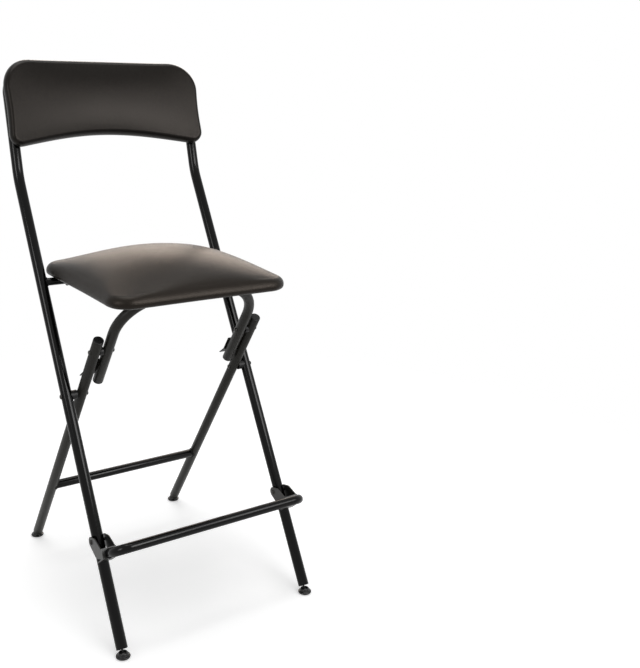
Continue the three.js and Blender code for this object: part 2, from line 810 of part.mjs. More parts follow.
function backCushion() {
  const floor = backRearFace + backBoard + fit;
  const stations = padStations({
    pocketShare: backRimShare,
    floor,
    rim: backRearFace,
    edge: backThickness,
    crown: backCrown,
    crownShares: backCrownShares,
  });
  const rings = stations.map(([share, forward]) =>
    backOutline.map((point) => onPad(point, share, forward)));
  const pole = (forward) => onBack(0, backMiddle, forward);
  return solid(loft(pole(floor), rings, pole(backRearFace + backThickness + backCrown)));
}

function backPanel() {
  const edge = backRimShare - (2 * fit) / backWidth;
  const front = backRearFace + backBoard;
  const stations = [
    ...[...padFloorShares, edge].map((share) => [share, front]),
    ...[edge, ...[...padFloorShares].reverse()].map((share) => [share, backRearFace]),
  ];
  const rings = stations.map(([share, forward]) =>
    backOutline.map((point) => onPad(point, share, forward)));
  const pole = (forward) => onBack(0, backMiddle, forward);
  return solid(loft(pole(front), rings, pole(backRearFace)));
}

function backScrewPiece(height, side) {
  const middle = at(onUpper(height), side * mainX);
  const headStart = -mainRadius - fit;
  const shank = backScrew / 2;
  const head = backScrewHead / 2;
  return turned([
    [0, headStart - backScrewDome],
    [head * headFlatShare, headStart - backScrewDome],
    [head, headStart],
    [shank, headStart],
    [shank, mainRadius],
    [0, mainRadius],
  ], middle, upperFront);
}

// Scene graph: one group for each part that moves as a whole, set at its pivot
const stool = new THREE.Group();
const groupAt = (parent, point) => {
  const group = new THREE.Group();
  const parentPlace = parent.getWorldPosition(new THREE.Vector3());
  group.position.copy(point).sub(parentPlace);
  parent.add(group);
  group.updateWorldMatrix(true, false);
  return group;
};
const mainFrame = groupAt(stool, new THREE.Vector3());
const rearFrame = groupAt(stool, crossing);
const bowFrame = groupAt(rearFrame, fold);
const seat = groupAt(bowFrame, bowRail);
const footrest = groupAt(mainFrame, footPivot);

function add(group, name, shape, material) {
  const geometry = shape.isBufferGeometry ? geometryOf(solid(shape)) : geometryOf(shape);
  const place = group.getWorldPosition(new THREE.Vector3());
  geometry.translate(-place.x, -place.y, -place.z);
  const mesh = new THREE.Mesh(geometry, material);
  mesh.name = name;
  group.add(mesh);
}

add(mainFrame, 'frame_top_tube', frameTop(), blackPaint);
add(mainFrame, 'seat_rear_rail',
  copedRail(seatRail, seatRailTube, mainX, mainTube, mainUp), blackPaint);
add(mainFrame, 'back_cushion', backCushion(), darkVinyl);
add(mainFrame, 'back_board', backPanel(), boardPaint);
add(rearFrame, 'rear_stretcher',
  copedRail(onRear(-(crossHeight - stretcherHeight) / rearUp.z), stretcherTube, rearX, rearTube, rearUp),
  darkPaint);
add(bowFrame, 'seat_bow', bow(), darkPaint);
add(seat, 'seat_cushion', seatCushion(), vinyl);
add(seat, 'seat_board', seatBoardPanel(), boardPaint);
add(footrest, 'footrest_bar', footrestBar(), blackPaint);

for (const [name, side] of sides) {
  const mainFace = side * (mainX + mainRadius + fit);
  const mainInner = side * (mainX - mainRadius - fit);
  const rearInner = side * (rearX - rearRadius - fit);
  const rearOuter = side * (rearX + rearRadius + fit);
  const bowInner = side * (bowX - bowRadius - fit);
  const bracketOuter = side * (mainX + mainRadius + bracketGap + bracketPlate + fit);
  const bracketInner = side * (mainX - mainRadius - bracketGap - bracketPlate - fit);
  const ordered = (a, b) => [Math.min(a, b), Math.max(a, b)];

  add(mainFrame, `main_leg_${name}`, mainLeg(side), blackPaint);
  add(mainFrame, `cross_rivet_${name}`, rivet(crossing, ...ordered(rearInner, mainFace)), steel);
  add(mainFrame, `cross_spacer_${name}`,
    saddleSpacer(crossing, rearOuter, side * mainX, mainUp, mainTube, crossSpacerDiameter), blackPlastic);
  add(mainFrame, `footrest_rivet_${name}`,
    rivet(footPivot, ...ordered(bracketInner, bracketOuter)), steel);
  add(mainFrame, `hinge_lug_${name}`, hingeLug(side), blackPaint);
  add(mainFrame, `hinge_lug_pin_${name}`, framePin(side), steel);
  add(mainFrame, `main_foot_plug_${name}`,
    footPlug(at(mainEnd, side * mainX), mainUp, mainTube), blackPlastic);
  add(mainFrame, `main_foot_glide_${name}`, glide(at(mainEnd, side * mainX), mainUp), blackPlastic);
  backScrewHeights.forEach((height, i) => {
    add(mainFrame, `back_screw_${name}_${i + 1}`, backScrewPiece(height, side), steel);
  });

  add(rearFrame, `rear_leg_${name}`, rearLeg(side), darkPaint);
  add(rearFrame, `link_rivet_${name}`, rivet(fold, ...ordered(bowInner, rearOuter)), steel);
  add(rearFrame, `link_spacer_${name}`,
    saddleSpacer(fold, side * (bowX + bowRadius + fit), side * rearX, rearUp, rearTube,
      linkSpacerDiameter), blackPlastic);
  add(rearFrame, `rear_leg_cap_${name}`,
    endCap(at(onRear(rearLegTop), side * rearX), rearUp, rearTube), blackPlastic);
  add(rearFrame, `rear_foot_plug_${name}`,
    footPlug(at(rearEnd, side * rearX), rearUp, rearTube), blackPlastic);
  add(rearFrame, `rear_foot_glide_${name}`, glide(at(rearEnd, side * rearX), rearUp), blackPlastic);

  add(bowFrame, `bow_cap_${name}`,
    endCap(at(bowEnd, side * bowX), rearUp.clone().negate(), bowTube), blackPlastic);
  add(bowFrame, `bow_stop_${name}`, stopStrip(side), darkPaint);

  add(seat, `rail_strap_${name}`, railStrap((side * strapSpread) / 2), steel);
  add(seat, `hinge_bracket_${name}`, hingeBracket(side), steel);
  add(seat, `hinge_bracket_pin_${name}`, seatPin(side), steel);

  add(footrest, `footrest_bracket_${name}`, footrestBracket(side), steel);
}

export default stool;
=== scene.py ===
"""Surfaces, finishes and stage of the folding bar stool, built round its fixed frame. Metres, +Z up."""
import json
import math

import bmesh
import bpy
import numpy as np
from bpy.props import FloatProperty, FloatVectorProperty, IntProperty, PointerProperty
from mathutils import Matrix, Vector


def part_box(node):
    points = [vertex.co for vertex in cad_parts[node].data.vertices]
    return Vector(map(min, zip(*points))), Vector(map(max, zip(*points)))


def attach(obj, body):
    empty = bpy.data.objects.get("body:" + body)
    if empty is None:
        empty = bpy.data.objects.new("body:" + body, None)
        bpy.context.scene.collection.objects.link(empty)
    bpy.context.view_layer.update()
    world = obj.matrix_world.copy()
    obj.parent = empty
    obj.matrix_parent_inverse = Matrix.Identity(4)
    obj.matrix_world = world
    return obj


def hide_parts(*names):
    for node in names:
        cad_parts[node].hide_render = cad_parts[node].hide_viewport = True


bl_info = {
    "name": "Folding bar stool",
    "version": (1, 0, 0),
    "blender": (4, 5, 0),
    "location": "3D View > Sidebar > Stool",
    "description": "Builds the visible surfaces of a folding bar stool and its studio stage",
    "category": "Add Mesh",
}

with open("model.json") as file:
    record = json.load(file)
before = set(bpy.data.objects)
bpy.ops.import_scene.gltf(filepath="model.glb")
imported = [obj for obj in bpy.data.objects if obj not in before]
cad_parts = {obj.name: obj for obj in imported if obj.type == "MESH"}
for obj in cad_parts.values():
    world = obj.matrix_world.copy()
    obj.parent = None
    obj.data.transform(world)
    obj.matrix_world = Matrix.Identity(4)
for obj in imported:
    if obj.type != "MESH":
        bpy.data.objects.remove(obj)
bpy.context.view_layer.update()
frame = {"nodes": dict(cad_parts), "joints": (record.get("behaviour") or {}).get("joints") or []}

# Steps, points and rows of the surfaces
TUBE_SIDES = 40
TURNED_SIDES = 36
ARC_STEPS = 14
PAD_COLUMNS = 176
BEAD_STEPS = 120
BEAD_SIDES = 8
STAPLE_SIDES = 8
SOCKET_FLATS = 6
EASE_STEPS = 3
GLIDE_EASE_STEPS = 4
DOME_STEPS = 8
SCREW_DOME_STEPS = 10
BALL_STEPS = 14
CUP_STEPS = 12
BEVEL_STEPS = 3
OUTLINE_ARC_POINTS = 40
OUTLINE_EDGE_POINTS = 60
PAD_FOOT_ROWS = 7
PAD_ROLL_ROWS = 10
SEAT_CROWN_ROWS = 22
BACK_CROWN_ROWS = 20
STRAIGHT_POINTS = 3

# Ripples of a weld bead, folds round the seat, and waves of the hem under it
RIPPLES = 30
RIPPLE_SHARE = 0.13
FOLDS = 62
HEM_WAVES = 31

# A length too small to matter
TINY = 1e-5

# Edges of pressed steel that are flatter than this are dissolved
FLAT_ANGLE = math.radians(1)

# Edges sharper than this stay sharp, and a pad has none
SHARP_ANGLE = math.radians(38)
NEVER_SHARP_ANGLE = math.pi

# Shares that shape the small pieces
EIGHTH_TURN_SHARE = 1 - math.sqrt(0.5)
EASE_LIMIT_SHARE = 0.48
NEAR_UPRIGHT_SHARE = 0.9
RAIL_SINK_SHARE = 0.6
STRETCHER_SINK_SHARE = 0.5
BUTT_BEAD_SHARE = 0.4
SOCKET_RIM_SHARE = 1.12
SOCKET_DISH_SHARE = 1.25
CAP_EDGE_SHARES = (0.7, 0.84)
CUP_ANGLE = math.radians(118)

# Glide's outline outside its dome and on it, as shares of the foot's or the dome's radius and the height
GLIDE_FOOT_SHARES = ((0.84, 0), (0.97, 0.12), (1, 0.26), (0.94, 0.42))
GLIDE_DOME_SHARES = ((1, 0.48), (0.99, 0.66), (0.88, 0.9))

# Shares that shape the pads
SEAT_OVAL_SHARES = (0.95, 0.95)
BACK_OVAL_SHARES = (0.9, 0.5)
SEAT_FLOOR_SHARES = (0.15, 0.35, 0.55, 0.75, 0.92)
BACK_FLOOR_SHARES = (0.2, 0.45, 0.7, 0.9)
LIP_EASE_SHARE = 0.3
SEAT_LIP_RUN = 2
BACK_LIP_RUN = 1
BACK_WAIST_SHARE = 0.36
OVAL_POWER = 3
PUCKER_POWER = 6

# The seat's vinyl as cloth
CLOTH_STIFFNESS = 25
CLOTH_BENDING = 2.5
CLOTH_QUALITY = 6

# Noises of the finishes, as the scale per metre, the detail and any roughness other than the usual
NOISE_ROUGHNESS = 0.5
COAT_CLOUD = (14.0, 6.0, 0.62)
COAT_SPECK = (520.0, 3.0, 0.7)
VINYL_FINE = (2600.0, 3.0)
VINYL_CLOUD = (9.0, 6.0, 0.6)

# Depth, refraction and pattern that the coats share
COAT_DEPTH = 0.0002
COAT_IOR = 1.45
COAT_WAVE_DETAIL = 2.0

# Depth, refraction and pattern that the vinyls share
VINYL_DEPTH = 0.0003
VINYL_IOR = 1.5
VINYL_GRAIN_SCALE = 620.0
VINYL_WARP_SCALE = 160.0
VINYL_WARP_REACH = 0.0016

# Where the patterns start and end, and how much of each goes in
MIDDLE_TONE = 0.5
COAT_PATCH_RANGE = (0.45, 0.72)
COAT_GRIT_RANGE = (0.56, 0.72)
COAT_DUST_SHARE = 0.5
COAT_DUST_ROUGHNESS = 0.6
VINYL_PEBBLE_RANGE = (0.0, 0.22)
VINYL_FINE_SHARE = 0.35
VINYL_TONE_RANGE = (0.35, 0.68)
# How far the grain's creases are painted darker: painted shade
VINYL_CREASE_SHADE_SHARE = 0.55
VINYL_UNEVEN_ROUGHNESS = 0.12

# Lamps as name: (place, size, watts). The soft ones light the stool, the strips show in gloss only
SOFT_LAMPS = {
    "front_softbox": ((0.2, -2.6, 1.9), (1.4, 1.4), 13.0),
    "top_softbox": ((0.1, 0.2, 3.1), (1.6, 1.6), 34.0),
}
STRIP_LAMPS = {
    "left_strip": ((-2.3, -0.9, 1.5), (0.8, 1.1), 23.0),
    "middle_strip": ((0.5, -2.04, 1.5), (0.65, 1.1), 27.0),
    "right_strip": ((1.2, -1.75, 1.5), (0.65, 1.1), 19.0),
    "rear_panel": ((1.4, 2.5, 1.6), (2.0, 0.8), 19.0),
}
LAMP_TARGET = (0.0, 0.0, 0.75)
WHITE = (1.0, 1.0, 1.0)

# Width of the camera's film in millimetres
FILM_WIDTH = 36.0

# The two sides of the stool
SIDES = (("left", -1), ("right", 1))


def joint_place(name):
    """Place of a joint in the frame."""
    joint = next(joint for joint in frame["joints"] if joint["name"] == name)
    return np.array(joint["pos_m"], float)


def unit(vectors):
    """Vectors divided by their lengths."""
    vectors = np.asarray(vectors, float)
    return vectors / np.linalg.norm(vectors, axis=-1, keepdims=True)


def full_turn(count):
    """Evenly spaced angles of a full turn."""
    return np.linspace(0, math.tau, count, endpoint=False)


def node_middle(node):
    """Middle of a node's box."""
    low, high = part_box(node)
    return np.array([(low.x + high.x) / 2, (low.y + high.y) / 2, (low.z + high.z) / 2])


# Directions and places in the side view, taken from the joints
ACROSS = np.array([1.0, 0.0, 0.0])
UPRIGHT = np.array([0.0, 0.0, 1.0])
CROSSING = joint_place("frame_fold")
FOLD = joint_place("bow_fold")
BOW_RAIL = joint_place("seat_tip")
FOOT_PIVOT = joint_place("footrest_flip")
MAIN_UP = unit(CROSSING - FOOT_PIVOT)
MAIN_FRONT = np.array([0.0, -MAIN_UP[2], MAIN_UP[1]])
REAR_UP = unit(BOW_RAIL - CROSSING)
REAR_BACK = np.array([0.0, REAR_UP[2], -REAR_UP[1]])
MAIN_X = abs(joint_place("front_glide_left_tilt")[0])
REAR_X = abs(joint_place("rear_glide_left_tilt")[0])
BOW_X = abs(node_middle("bow_cap_left")[0])


def at(point, x):
    """The same place in the side view, at another place across the stool."""
    return np.array([x, point[1], point[2]])


def along(start, direction, height):
    """Point of a line at a given height: the start moved along its direction by the height's share."""
    return start + direction * (height - start[2]) / direction[2]


# Properties


def in_metres(label, meaning, default):
    """A length that a user can set."""
    return FloatProperty(name=label, description=meaning, default=default, subtype="DISTANCE")


def in_degrees(label, meaning, default):
    """An angle that a user can set."""
    return FloatProperty(name=label, description=meaning, default=math.radians(default), subtype="ANGLE")


def as_share(label, meaning, default):
    """A share that a user can set."""
    return FloatProperty(name=label, description=meaning, default=default, subtype="FACTOR")


def as_number(label, meaning, default):
    """A plain number that a user can set."""
    return FloatProperty(name=label, description=meaning, default=default)


def as_colour(label, meaning, default):
    """A colour that a user can set."""
    return FloatVectorProperty(name=label, description=meaning, default=default, subtype="COLOR")


class StoolFrameSizes(bpy.types.PropertyGroup):
    """Sizes of the tubes and of their joints."""

    main_tube: in_metres("Main tube", "Diameter of the main legs' tube", 0.022)
    rear_tube: in_metres("Rear tube", "Diameter of the rear legs and the bow", 0.021)
    cross_tube: in_metres("Cross tube", "Diameter of the stretcher and the footrest bar", 0.019)
    rail_tube: in_metres("Rail tube", "Diameter of the rail behind the seat", 0.016)
    wall: in_metres("Tube wall", "Wall seen at the open tube ends", 0.0015)
    rim: in_metres("Rim", "Rounding of the cut tube ends", 0.0004)
    end_height: in_metres("Leg end", "Height of the leg ends above the floor", 0.0145)
    bend_height: in_metres("Back bend", "Height at which the main legs bend", 0.838)
    bend_radius: in_metres("Bend radius", "Radius of the main legs' bend", 0.15)
    upper_tilt: in_degrees("Upright tilt", "Lean of the back's uprights", 16)
    joint_height: in_metres("Top joint", "Height where the top tube enters the legs", 1.003)
    rail_height: in_metres("Top rail", "Height of the top tube's rail", 1.047)
    top_corner: in_metres("Top corner", "Corner radius of the top tube", 0.04)
    back_dip: in_metres("Back dip", "How far the back bows behind its sides", 0.027)
    rear_top: in_metres("Rear leg top", "From the crossing to the rear legs' top end", 0.157)
    bow_tail: in_metres("Bow tail", "From the fold pivot to the bow's lower ends", 0.089)
    bow_bend: in_metres("Bow bend", "Bend radius of the bow's axis", 0.09)
    footrest_reach: in_metres("Footrest reach", "From the main legs to the bar", 0.089)
    footrest_root: in_metres("Footrest root", "From the main legs to the bar's ends", 0.0453)
    footrest_drop: in_metres("Footrest drop", "From the pivot down to the bar", 0.029)
    footrest_bend: in_metres("Footrest bend", "Bend radius of the bar's axis", 0.027)
    bead: in_metres("Weld bead", "Radius of the weld beads", 0.0017)


class StoolFittingSizes(bpy.types.PropertyGroup):
    """Sizes of rivets, pins, caps, spacers and glides."""

    shank: in_metres("Shank", "Diameter of the rivets' shanks", 0.006)
    head: in_metres("Head", "Diameter of the rivets' heads", 0.01)
    dome: in_metres("Dome", "Height of the rivets' heads", 0.0028)
    pin_head: in_metres("Pin head", "Diameter of the hinge pins' heads", 0.011)
    pin_dome: in_metres("Pin dome", "Height of the hinge pins' heads", 0.002)
    screw_head: in_metres("Screw head", "Diameter of the screws' heads", 0.01)
    screw_shank: in_metres("Screw shank", "Diameter of the screws", 0.005)
    screw_dome: in_metres("Screw dome", "Height of the screws' heads", 0.0024)
    key: in_metres("Key", "Width across the flats of the screws' sockets", 0.003)
    key_depth: in_metres("Key depth", "Depth of the screws' sockets", 0.0014)
    cross_spacer: in_metres("Crossing spacer", "Diameter of the crossing's spacers", 0.019)
    link_spacer: in_metres("Link spacer", "Diameter of the bow's spacers", 0.017)
    hole: in_metres("Hole", "Diameter of the holes round the rivets", 0.0066)
    cap_dome: in_metres("Cap dome", "Height of the tube caps", 0.0025)
    cap_shank: in_metres("Cap shank", "Length of the caps' shanks", 0.01)
    plug_shank: in_metres("Plug shank", "Length of the foot plugs' shanks", 0.012)
    ball: in_metres("Ball", "Diameter of the glides' balls", 0.008)
    ball_height: in_metres("Ball height", "Height of the balls above the floor", 0.007)
    neck: in_metres("Neck", "Diameter of the neck above the ball", 0.0028)
    glide: in_metres("Glide", "Diameter of the glides", 0.028)
    housing: in_metres("Housing", "Diameter of the glides' domes", 0.02)
    glide_top: in_metres("Glide top", "Height of the glides", 0.0114)
    mouth: in_metres("Mouth", "Opening at the glides' tops", 0.0124)
    cup: in_metres("Cup", "Diameter of the cup round the ball", 0.009)
    cap_edge: in_metres("Cap edge", "Easing of the tube caps' edges", 0.0007)
    plug_edge: in_metres("Plug edge", "Easing of the foot plugs' edges", 0.0006)
    glide_edge: in_metres("Glide edge", "Easing of the glides' edges", 0.0012)
    edge: in_metres("Edge", "Easing of the edges of pressed steel, spacers and pins", 0.0004)
    fit: in_metres("Fit", "Gap between pieces that touch", 0.0003)


class StoolPadSizes(bpy.types.PropertyGroup):
    """Sizes of the seat, the back and their boards."""

    seat_corner: in_metres("Seat corner", "Corner radius of the seat", 0.043)
    side_draw: in_metres("Side draw-in", "How far the sides of the seat and the back draw in", 0.002)
    seat_foot: in_metres("Seat foot", "Radius of the seat's lower edge", 0.009)
    seat_lip: in_metres("Seat lip", "Rounding of the rim's inner edge", 0.0025)
    seat_wall: in_metres("Seat wall", "From the rim up to the seat's roll", 0.010)
    seat_roll: in_metres("Seat roll", "Radius of the seat's upper edge", 0.012)
    seat_power: as_number("Seat power", "How square the crown of the seat is", 2.2)
    seat_hip: as_share("Seat hip", "Share of the crown that falls evenly all round", 0.6)
    seat_lift: in_metres("Seat lift", "Rise of the foam over the solid's crown", 0.009)
    seat_bulge: in_metres("Seat bulge", "Growth of the sides over the solid's", 0.002)
    pucker: in_metres("Pucker", "Depth of the folds round the seat's corners and of the hem's waves", 0.0005)
    seat_skirt: in_metres("Seat skirt", "Width of the rim round the board", 0.015)
    board_top: in_metres("Board top", "From the rim up to the board's top", 0.0268)
    back_low_corner: in_metres("Back low corner", "Lower corner radius of the back", 0.024)
    back_high_corner: in_metres("Back high corner", "Upper corner radius of the back", 0.064)
    back_low: in_metres("Back low", "Height of the back's lower corners", 0.897)
    back_high: in_metres("Back high", "Height of the back's upper corners", 1.076)
    back_arch: in_metres("Back arch", "Rise of the lower edge at its middle", 0.027)
    back_crest: in_metres("Back crest", "Rise of the upper edge at its middle", 0.004)
    back_face: in_metres("Back face", "From the uprights' axis to the pad's rear", 0.0117)
    back_thickness: in_metres("Back thickness", "Thickness of the pad at its edge", 0.023)
    back_crown: in_metres("Back crown", "Rise of the pad's front over its edge", 0.012)
    back_power: as_number("Back power", "How square the crown of the back is", 2.3)
    back_roll: in_metres("Back roll", "Width of the pad's rolled edge", 0.010)
    back_skirt: in_metres("Back skirt", "Width of the rim round the back's board", 0.0055)
    back_lip: in_metres("Back lip", "Rounding of that rim's inner edge", 0.0016)
    back_foot: in_metres("Back foot", "Inset of the pad's rear edge", 0.004)
    back_board: in_metres("Back board", "Thickness of the board in the back", 0.0083)
    pressure: as_number("Pressure", "Air pressure that plumps the seat", 4.0)
    swell: in_metres("Swell", "Most that a point of the seat may move", 0.0025)
    frames: IntProperty(name="Frames", description="Steps of the seat's cloth simulation", default=16)
    hem: in_metres("Hem", "Width of the vinyl turned in under the seat", 0.01)
    hem_thickness: in_metres("Hem thickness", "Thickness of the turned-in vinyl", 0.0012)
    staple: in_metres("Staple", "Length of a staple's crown", 0.01)
    staple_step: in_metres("Staple step", "Distance from staple to staple", 0.033)
    staple_wire: in_metres("Staple wire", "Thickness of the staples", 0.0011)


class StoolColours(bpy.types.PropertyGroup):
    """Base colours of the finishes."""

    gloss_black: as_colour("Gloss black", "Paint of the main frame, the footrest and the stretcher",
                           (0.0015, 0.0015, 0.0014))
    satin_dark: as_colour("Satin dark", "Paint of the rear legs and the bow", (0.0115, 0.0108, 0.0085))
    bracket: as_colour("Bracket", "Paint of the pressed brackets and straps", (0.016, 0.0155, 0.014))
    rivet: as_colour("Rivet", "Blackened steel of rivets, pins, screws and staples", (0.030, 0.029, 0.027))
    plastic: as_colour("Plastic", "Moulded caps, plugs, spacers and glides", (0.004, 0.004, 0.004))
    seat_vinyl: as_colour("Seat vinyl", "Cover of the seat", (0.0100, 0.0078, 0.0060))
    back_vinyl: as_colour("Back vinyl", "Cover of the back", (0.0050, 0.0044, 0.0038))
    board: as_colour("Board", "Stained plywood of the boards", (0.010, 0.009, 0.008))
    floor: as_colour("Floor", "Pale studio floor", (0.90, 0.90, 0.90))


class StoolStageSizes(bpy.types.PropertyGroup):
    """Camera, lamps and floor."""

    camera_place: FloatVectorProperty(name="Camera", description="Place of the camera",
                                      default=(-0.88067, -1.77404, 1.10352), subtype="TRANSLATION")
    yaw: in_degrees("Yaw", "Turn of the view from +Y towards +X", 36.45)
    pitch: in_degrees("Pitch", "How far the view points down", 12.341)
    roll: in_degrees("Roll", "Roll of the camera", 2.109)
    lens: as_number("Lens", "Focal length in millimetres", 51.8)
    shift: as_number("Shift", "Vertical shift of the frame", -0.0973)
    floor_size: in_metres("Floor size", "Side of the floor", 3.2)
    floor_fade: in_metres("Floor fade", "Where the floor starts to fade to white", 0.75)
    floor_drop: in_metres("Floor drop", "Gap between the glides and the floor", 0.0004)
    warm: as_colour("Warm", "Colour of the panel behind the stool", (1.0, 0.80, 0.64))
    ambient: as_number("Ambient", "Strength of the world as a light", 0.5)
    floor_glow: as_number("Floor glow", "Light added to the floor where it is seen", 0.4)


def frame_sizes():
    """Sizes of the tubes."""
    return bpy.context.scene.stool_frame


def fitting_sizes():
    """Sizes of the small fittings."""
    return bpy.context.scene.stool_fittings


def pad_sizes():
    """Sizes of the upholstery."""
    return bpy.context.scene.stool_pads


def colours():
    """Base colours."""
    return bpy.context.scene.stool_colours


def stage_sizes():
    """Camera, lamps and floor."""
    return bpy.context.scene.stool_stage


# Surfaces


def grid_quads(rows, columns, ring=False):
    """Quads of a grid whose columns wrap round: corners (i, j), (i, j+1), (i+1, j+1) and (i+1, j).

    With ring, the last row joins the first one too.
    """
    i = np.arange(rows if ring else rows - 1)[:, None]
    j = np.arange(columns)[None, :]
    below = i * columns
    above = ((i + 1) % rows) * columns
    beside = (j + 1) % columns
    corners = np.broadcast_arrays(below + j, below + beside, above + beside, above + j)
    return np.stack(corners, -1).reshape(-1, 4)


def volume(points, quads):
    """Six times the volume that the quads enclose: the sum of a . (b x c) over both halves of each."""
    a, b, c, d = (points[quads[:, k]] for k in range(4))
    return float((a * (np.cross(b, c) + np.cross(c, d))).sum())


def shell(rings):
    """A closed skin over rings of equal counts, as (points, quads, triangles), its faces outwards.

    Neighbouring rings are joined by quads. The first and the last ring are each closed by a fan of
    triangles round the mean of their points.
    """
    rows, columns, _ = rings.shape
    points = np.concatenate([rings.reshape(-1, 3), rings[0].mean(0)[None], rings[-1].mean(0)[None]])
    quads = grid_quads(rows, columns)
    j = np.arange(columns)
    beside = (j + 1) % columns
    last = (rows - 1) * columns
    low = np.stack([np.full(columns, rows * columns), beside, j], -1)
    high = np.stack([np.full(columns, rows * columns + 1), last + j, last + beside], -1)
    triangles = np.concatenate([low, high])
    whole = np.concatenate([quads, triangles[:, [0, 1, 2, 2]]])
    if volume(points, whole) < 0:
        return points, quads[:, ::-1], triangles[:, ::-1]
    return points, quads, triangles


def torus(rings):
    """A skin that closes on itself both ways, as (points, quads, no triangles), its faces outwards."""
    rows, columns, _ = rings.shape
    points = rings.reshape(-1, 3)
    quads = grid_quads(rows, columns, ring=True)
    if volume(points, quads) < 0:
        quads = quads[:, ::-1]
    return points, quads, np.zeros((0, 3), int)


def placed(name, data):
    """A new object in the scene."""
    thing = bpy.data.objects.new(name, data)
    bpy.context.scene.collection.objects.link(thing)
    return thing


def shown(name, mesh, material, sharp=SHARP_ANGLE):
    """A mesh in the scene, smooth but for edges sharper than the given angle."""
    mesh.polygons.foreach_set("use_smooth", np.ones(len(mesh.polygons), bool))
    mesh.set_sharp_from_angle(angle=sharp)
    mesh.materials.append(material)
    mesh.update()
    return placed(name, mesh)


def add_mesh(name, skins, material, sharp=SHARP_ANGLE):
    """Joins closed skins in one mesh object."""
    points = np.concatenate([skin[0] for skin in skins])
    faces = []
    first = 0
    for skin_points, quads, triangles in skins:
        faces += (quads + first).tolist()
        faces += (triangles + first).tolist()
        first += len(skin_points)
    mesh = bpy.data.meshes.new(name)
    mesh.from_pydata(points.tolist(), [], faces)
    return shown(name, mesh, material, sharp)


def hang(piece, body, slot, *nodes):
    """Hangs a piece on its body, and hides the nodes that it replaces. The slot is not used."""
    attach(piece, body)
    if nodes:
        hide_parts(*nodes)
    return piece


def build(name, skins, material, body, slot, *nodes):
    """Joins closed skins in one piece and hangs it."""
    return hang(add_mesh(name, skins, material), body, slot, *nodes)


def rounded_path(corners, radius, steps=ARC_STEPS):
    """Points along straight runs whose inner corners are arcs: centre + cos t * spoke + sin t * into."""
    corners = np.asarray(corners, float)
    path = [corners[:1]]
    for before, corner, after in zip(corners[:-2], corners[1:-1], corners[2:]):
        into = unit(corner - before)
        out = unit(after - corner)
        turn = math.acos(float(np.clip(into @ out, -1, 1)))
        start = corner - into * radius * math.tan(turn / 2)
        spoke = unit(into * (into @ out) - out) * radius
        t = np.linspace(0, turn, steps + 1)[:, None]
        path.append(start - spoke + np.cos(t) * spoke + np.sin(t) * into * radius)
    path.append(corners[-1:])
    return np.concatenate(path)


def circles(path, radius, reference, sides=TUBE_SIDES):
    """Circles square to a path: centre + radius * (cos a * side + sin a * lift), and the tangents.

    The side is square to the tangent and to the reference direction, the lift is square to both.
    """
    tangent = unit(np.gradient(path, axis=0))
    side = unit(np.cross(tangent, reference))
    lift = np.cross(side, tangent)
    a = full_turn(sides)[None, :, None]
    spokes = np.cos(a) * side[:, None] + np.sin(a) * lift[:, None]
    return path[:, None] + radius * spokes, spokes, tangent


def open_end(radius, depth):
    """Profile (radius, reach) of a hollow tube end: up the bore, over the rounded rim, to the outside."""
    sizes = frame_sizes()
    bore = radius - sizes.wall
    rim = sizes.rim
    return [(bore, -depth), (bore, -rim), (bore + rim, 0), (radius - rim, 0),
            (radius - rim * EIGHTH_TURN_SHARE, -rim * EIGHTH_TURN_SHARE)]


def spigot_end(radius, length):
    """Profile (radius, reach) of an end that steps in to a spigot."""
    sizes = frame_sizes()
    spigot = radius - sizes.wall - fitting_sizes().fit
    rim = sizes.rim
    return [(spigot - rim, length), (spigot, length - rim), (spigot, 0), (radius - rim, 0),
            (radius - rim * EIGHTH_TURN_SHARE, -rim * EIGHTH_TURN_SHARE)]


def flat_end(radius):
    """Profile (radius, reach) of a closed end with a rounded rim."""
    rim = frame_sizes().rim
    return [(radius - rim, 0), (radius - rim * EIGHTH_TURN_SHARE, -rim * EIGHTH_TURN_SHARE)]


def tube(path, diameter, reference, start_profile, end_profile, sides=TUBE_SIDES):
    """A round section carried along a path, each end closed by a turned profile of (radius, reach)."""
    radius = diameter / 2
    rim = frame_sizes().rim
    path = np.array(path, float)
    path[0] += unit(path[1] - path[0]) * rim
    path[-1] += unit(path[-2] - path[-1]) * rim
    rings, spokes, tangent = circles(path, radius, reference, sides)
    start = np.array(start_profile)
    start_rings = (path[0] - tangent[0] * (start[:, 1:, None] + rim)
                   + start[:, :1, None] * spokes[0][None])
    end = np.array(end_profile)[::-1]
    end_rings = (path[-1] + tangent[-1] * (end[:, 1:, None] + rim)
                 + end[:, :1, None] * spokes[-1][None])
    return shell(np.concatenate([start_rings, rings, end_rings]))


def straight(ends, diameter, reference, profiles=None, sides=TUBE_SIDES):
    """A tube along start + t * (end - start), its ends flat unless two profiles are given."""
    start_profile, end_profile = profiles or [flat_end(diameter / 2)] * 2
    return tube(np.linspace(*ends, STRAIGHT_POINTS), diameter, reference, start_profile, end_profile, sides)


def eased(profile, radius, steps=EASE_STEPS):
    """A profile whose corners are rounded: each becomes a parabola, (1-t)^2 a + 2t(1-t) corner + t^2 b.

    Its ends a and b lie on the two sides, a radius or just under half a side away from the corner.
    """
    profile = np.asarray(profile, float)
    corner = profile[1:-1]
    back = profile[:-2] - corner
    ahead = profile[2:] - corner
    back_length = np.linalg.norm(back, axis=1, keepdims=True)
    ahead_length = np.linalg.norm(ahead, axis=1, keepdims=True)
    a = corner + back / back_length * np.minimum(radius, back_length * EASE_LIMIT_SHARE)
    b = corner + ahead / ahead_length * np.minimum(radius, ahead_length * EASE_LIMIT_SHARE)
    t = np.linspace(0, 1, steps + 1)[None, :, None]
    curve = (1 - t) ** 2 * a[:, None] + 2 * t * (1 - t) * corner[:, None] + t ** 2 * b[:, None]
    return np.concatenate([profile[:1], curve.reshape(-1, 2), profile[-1:]])


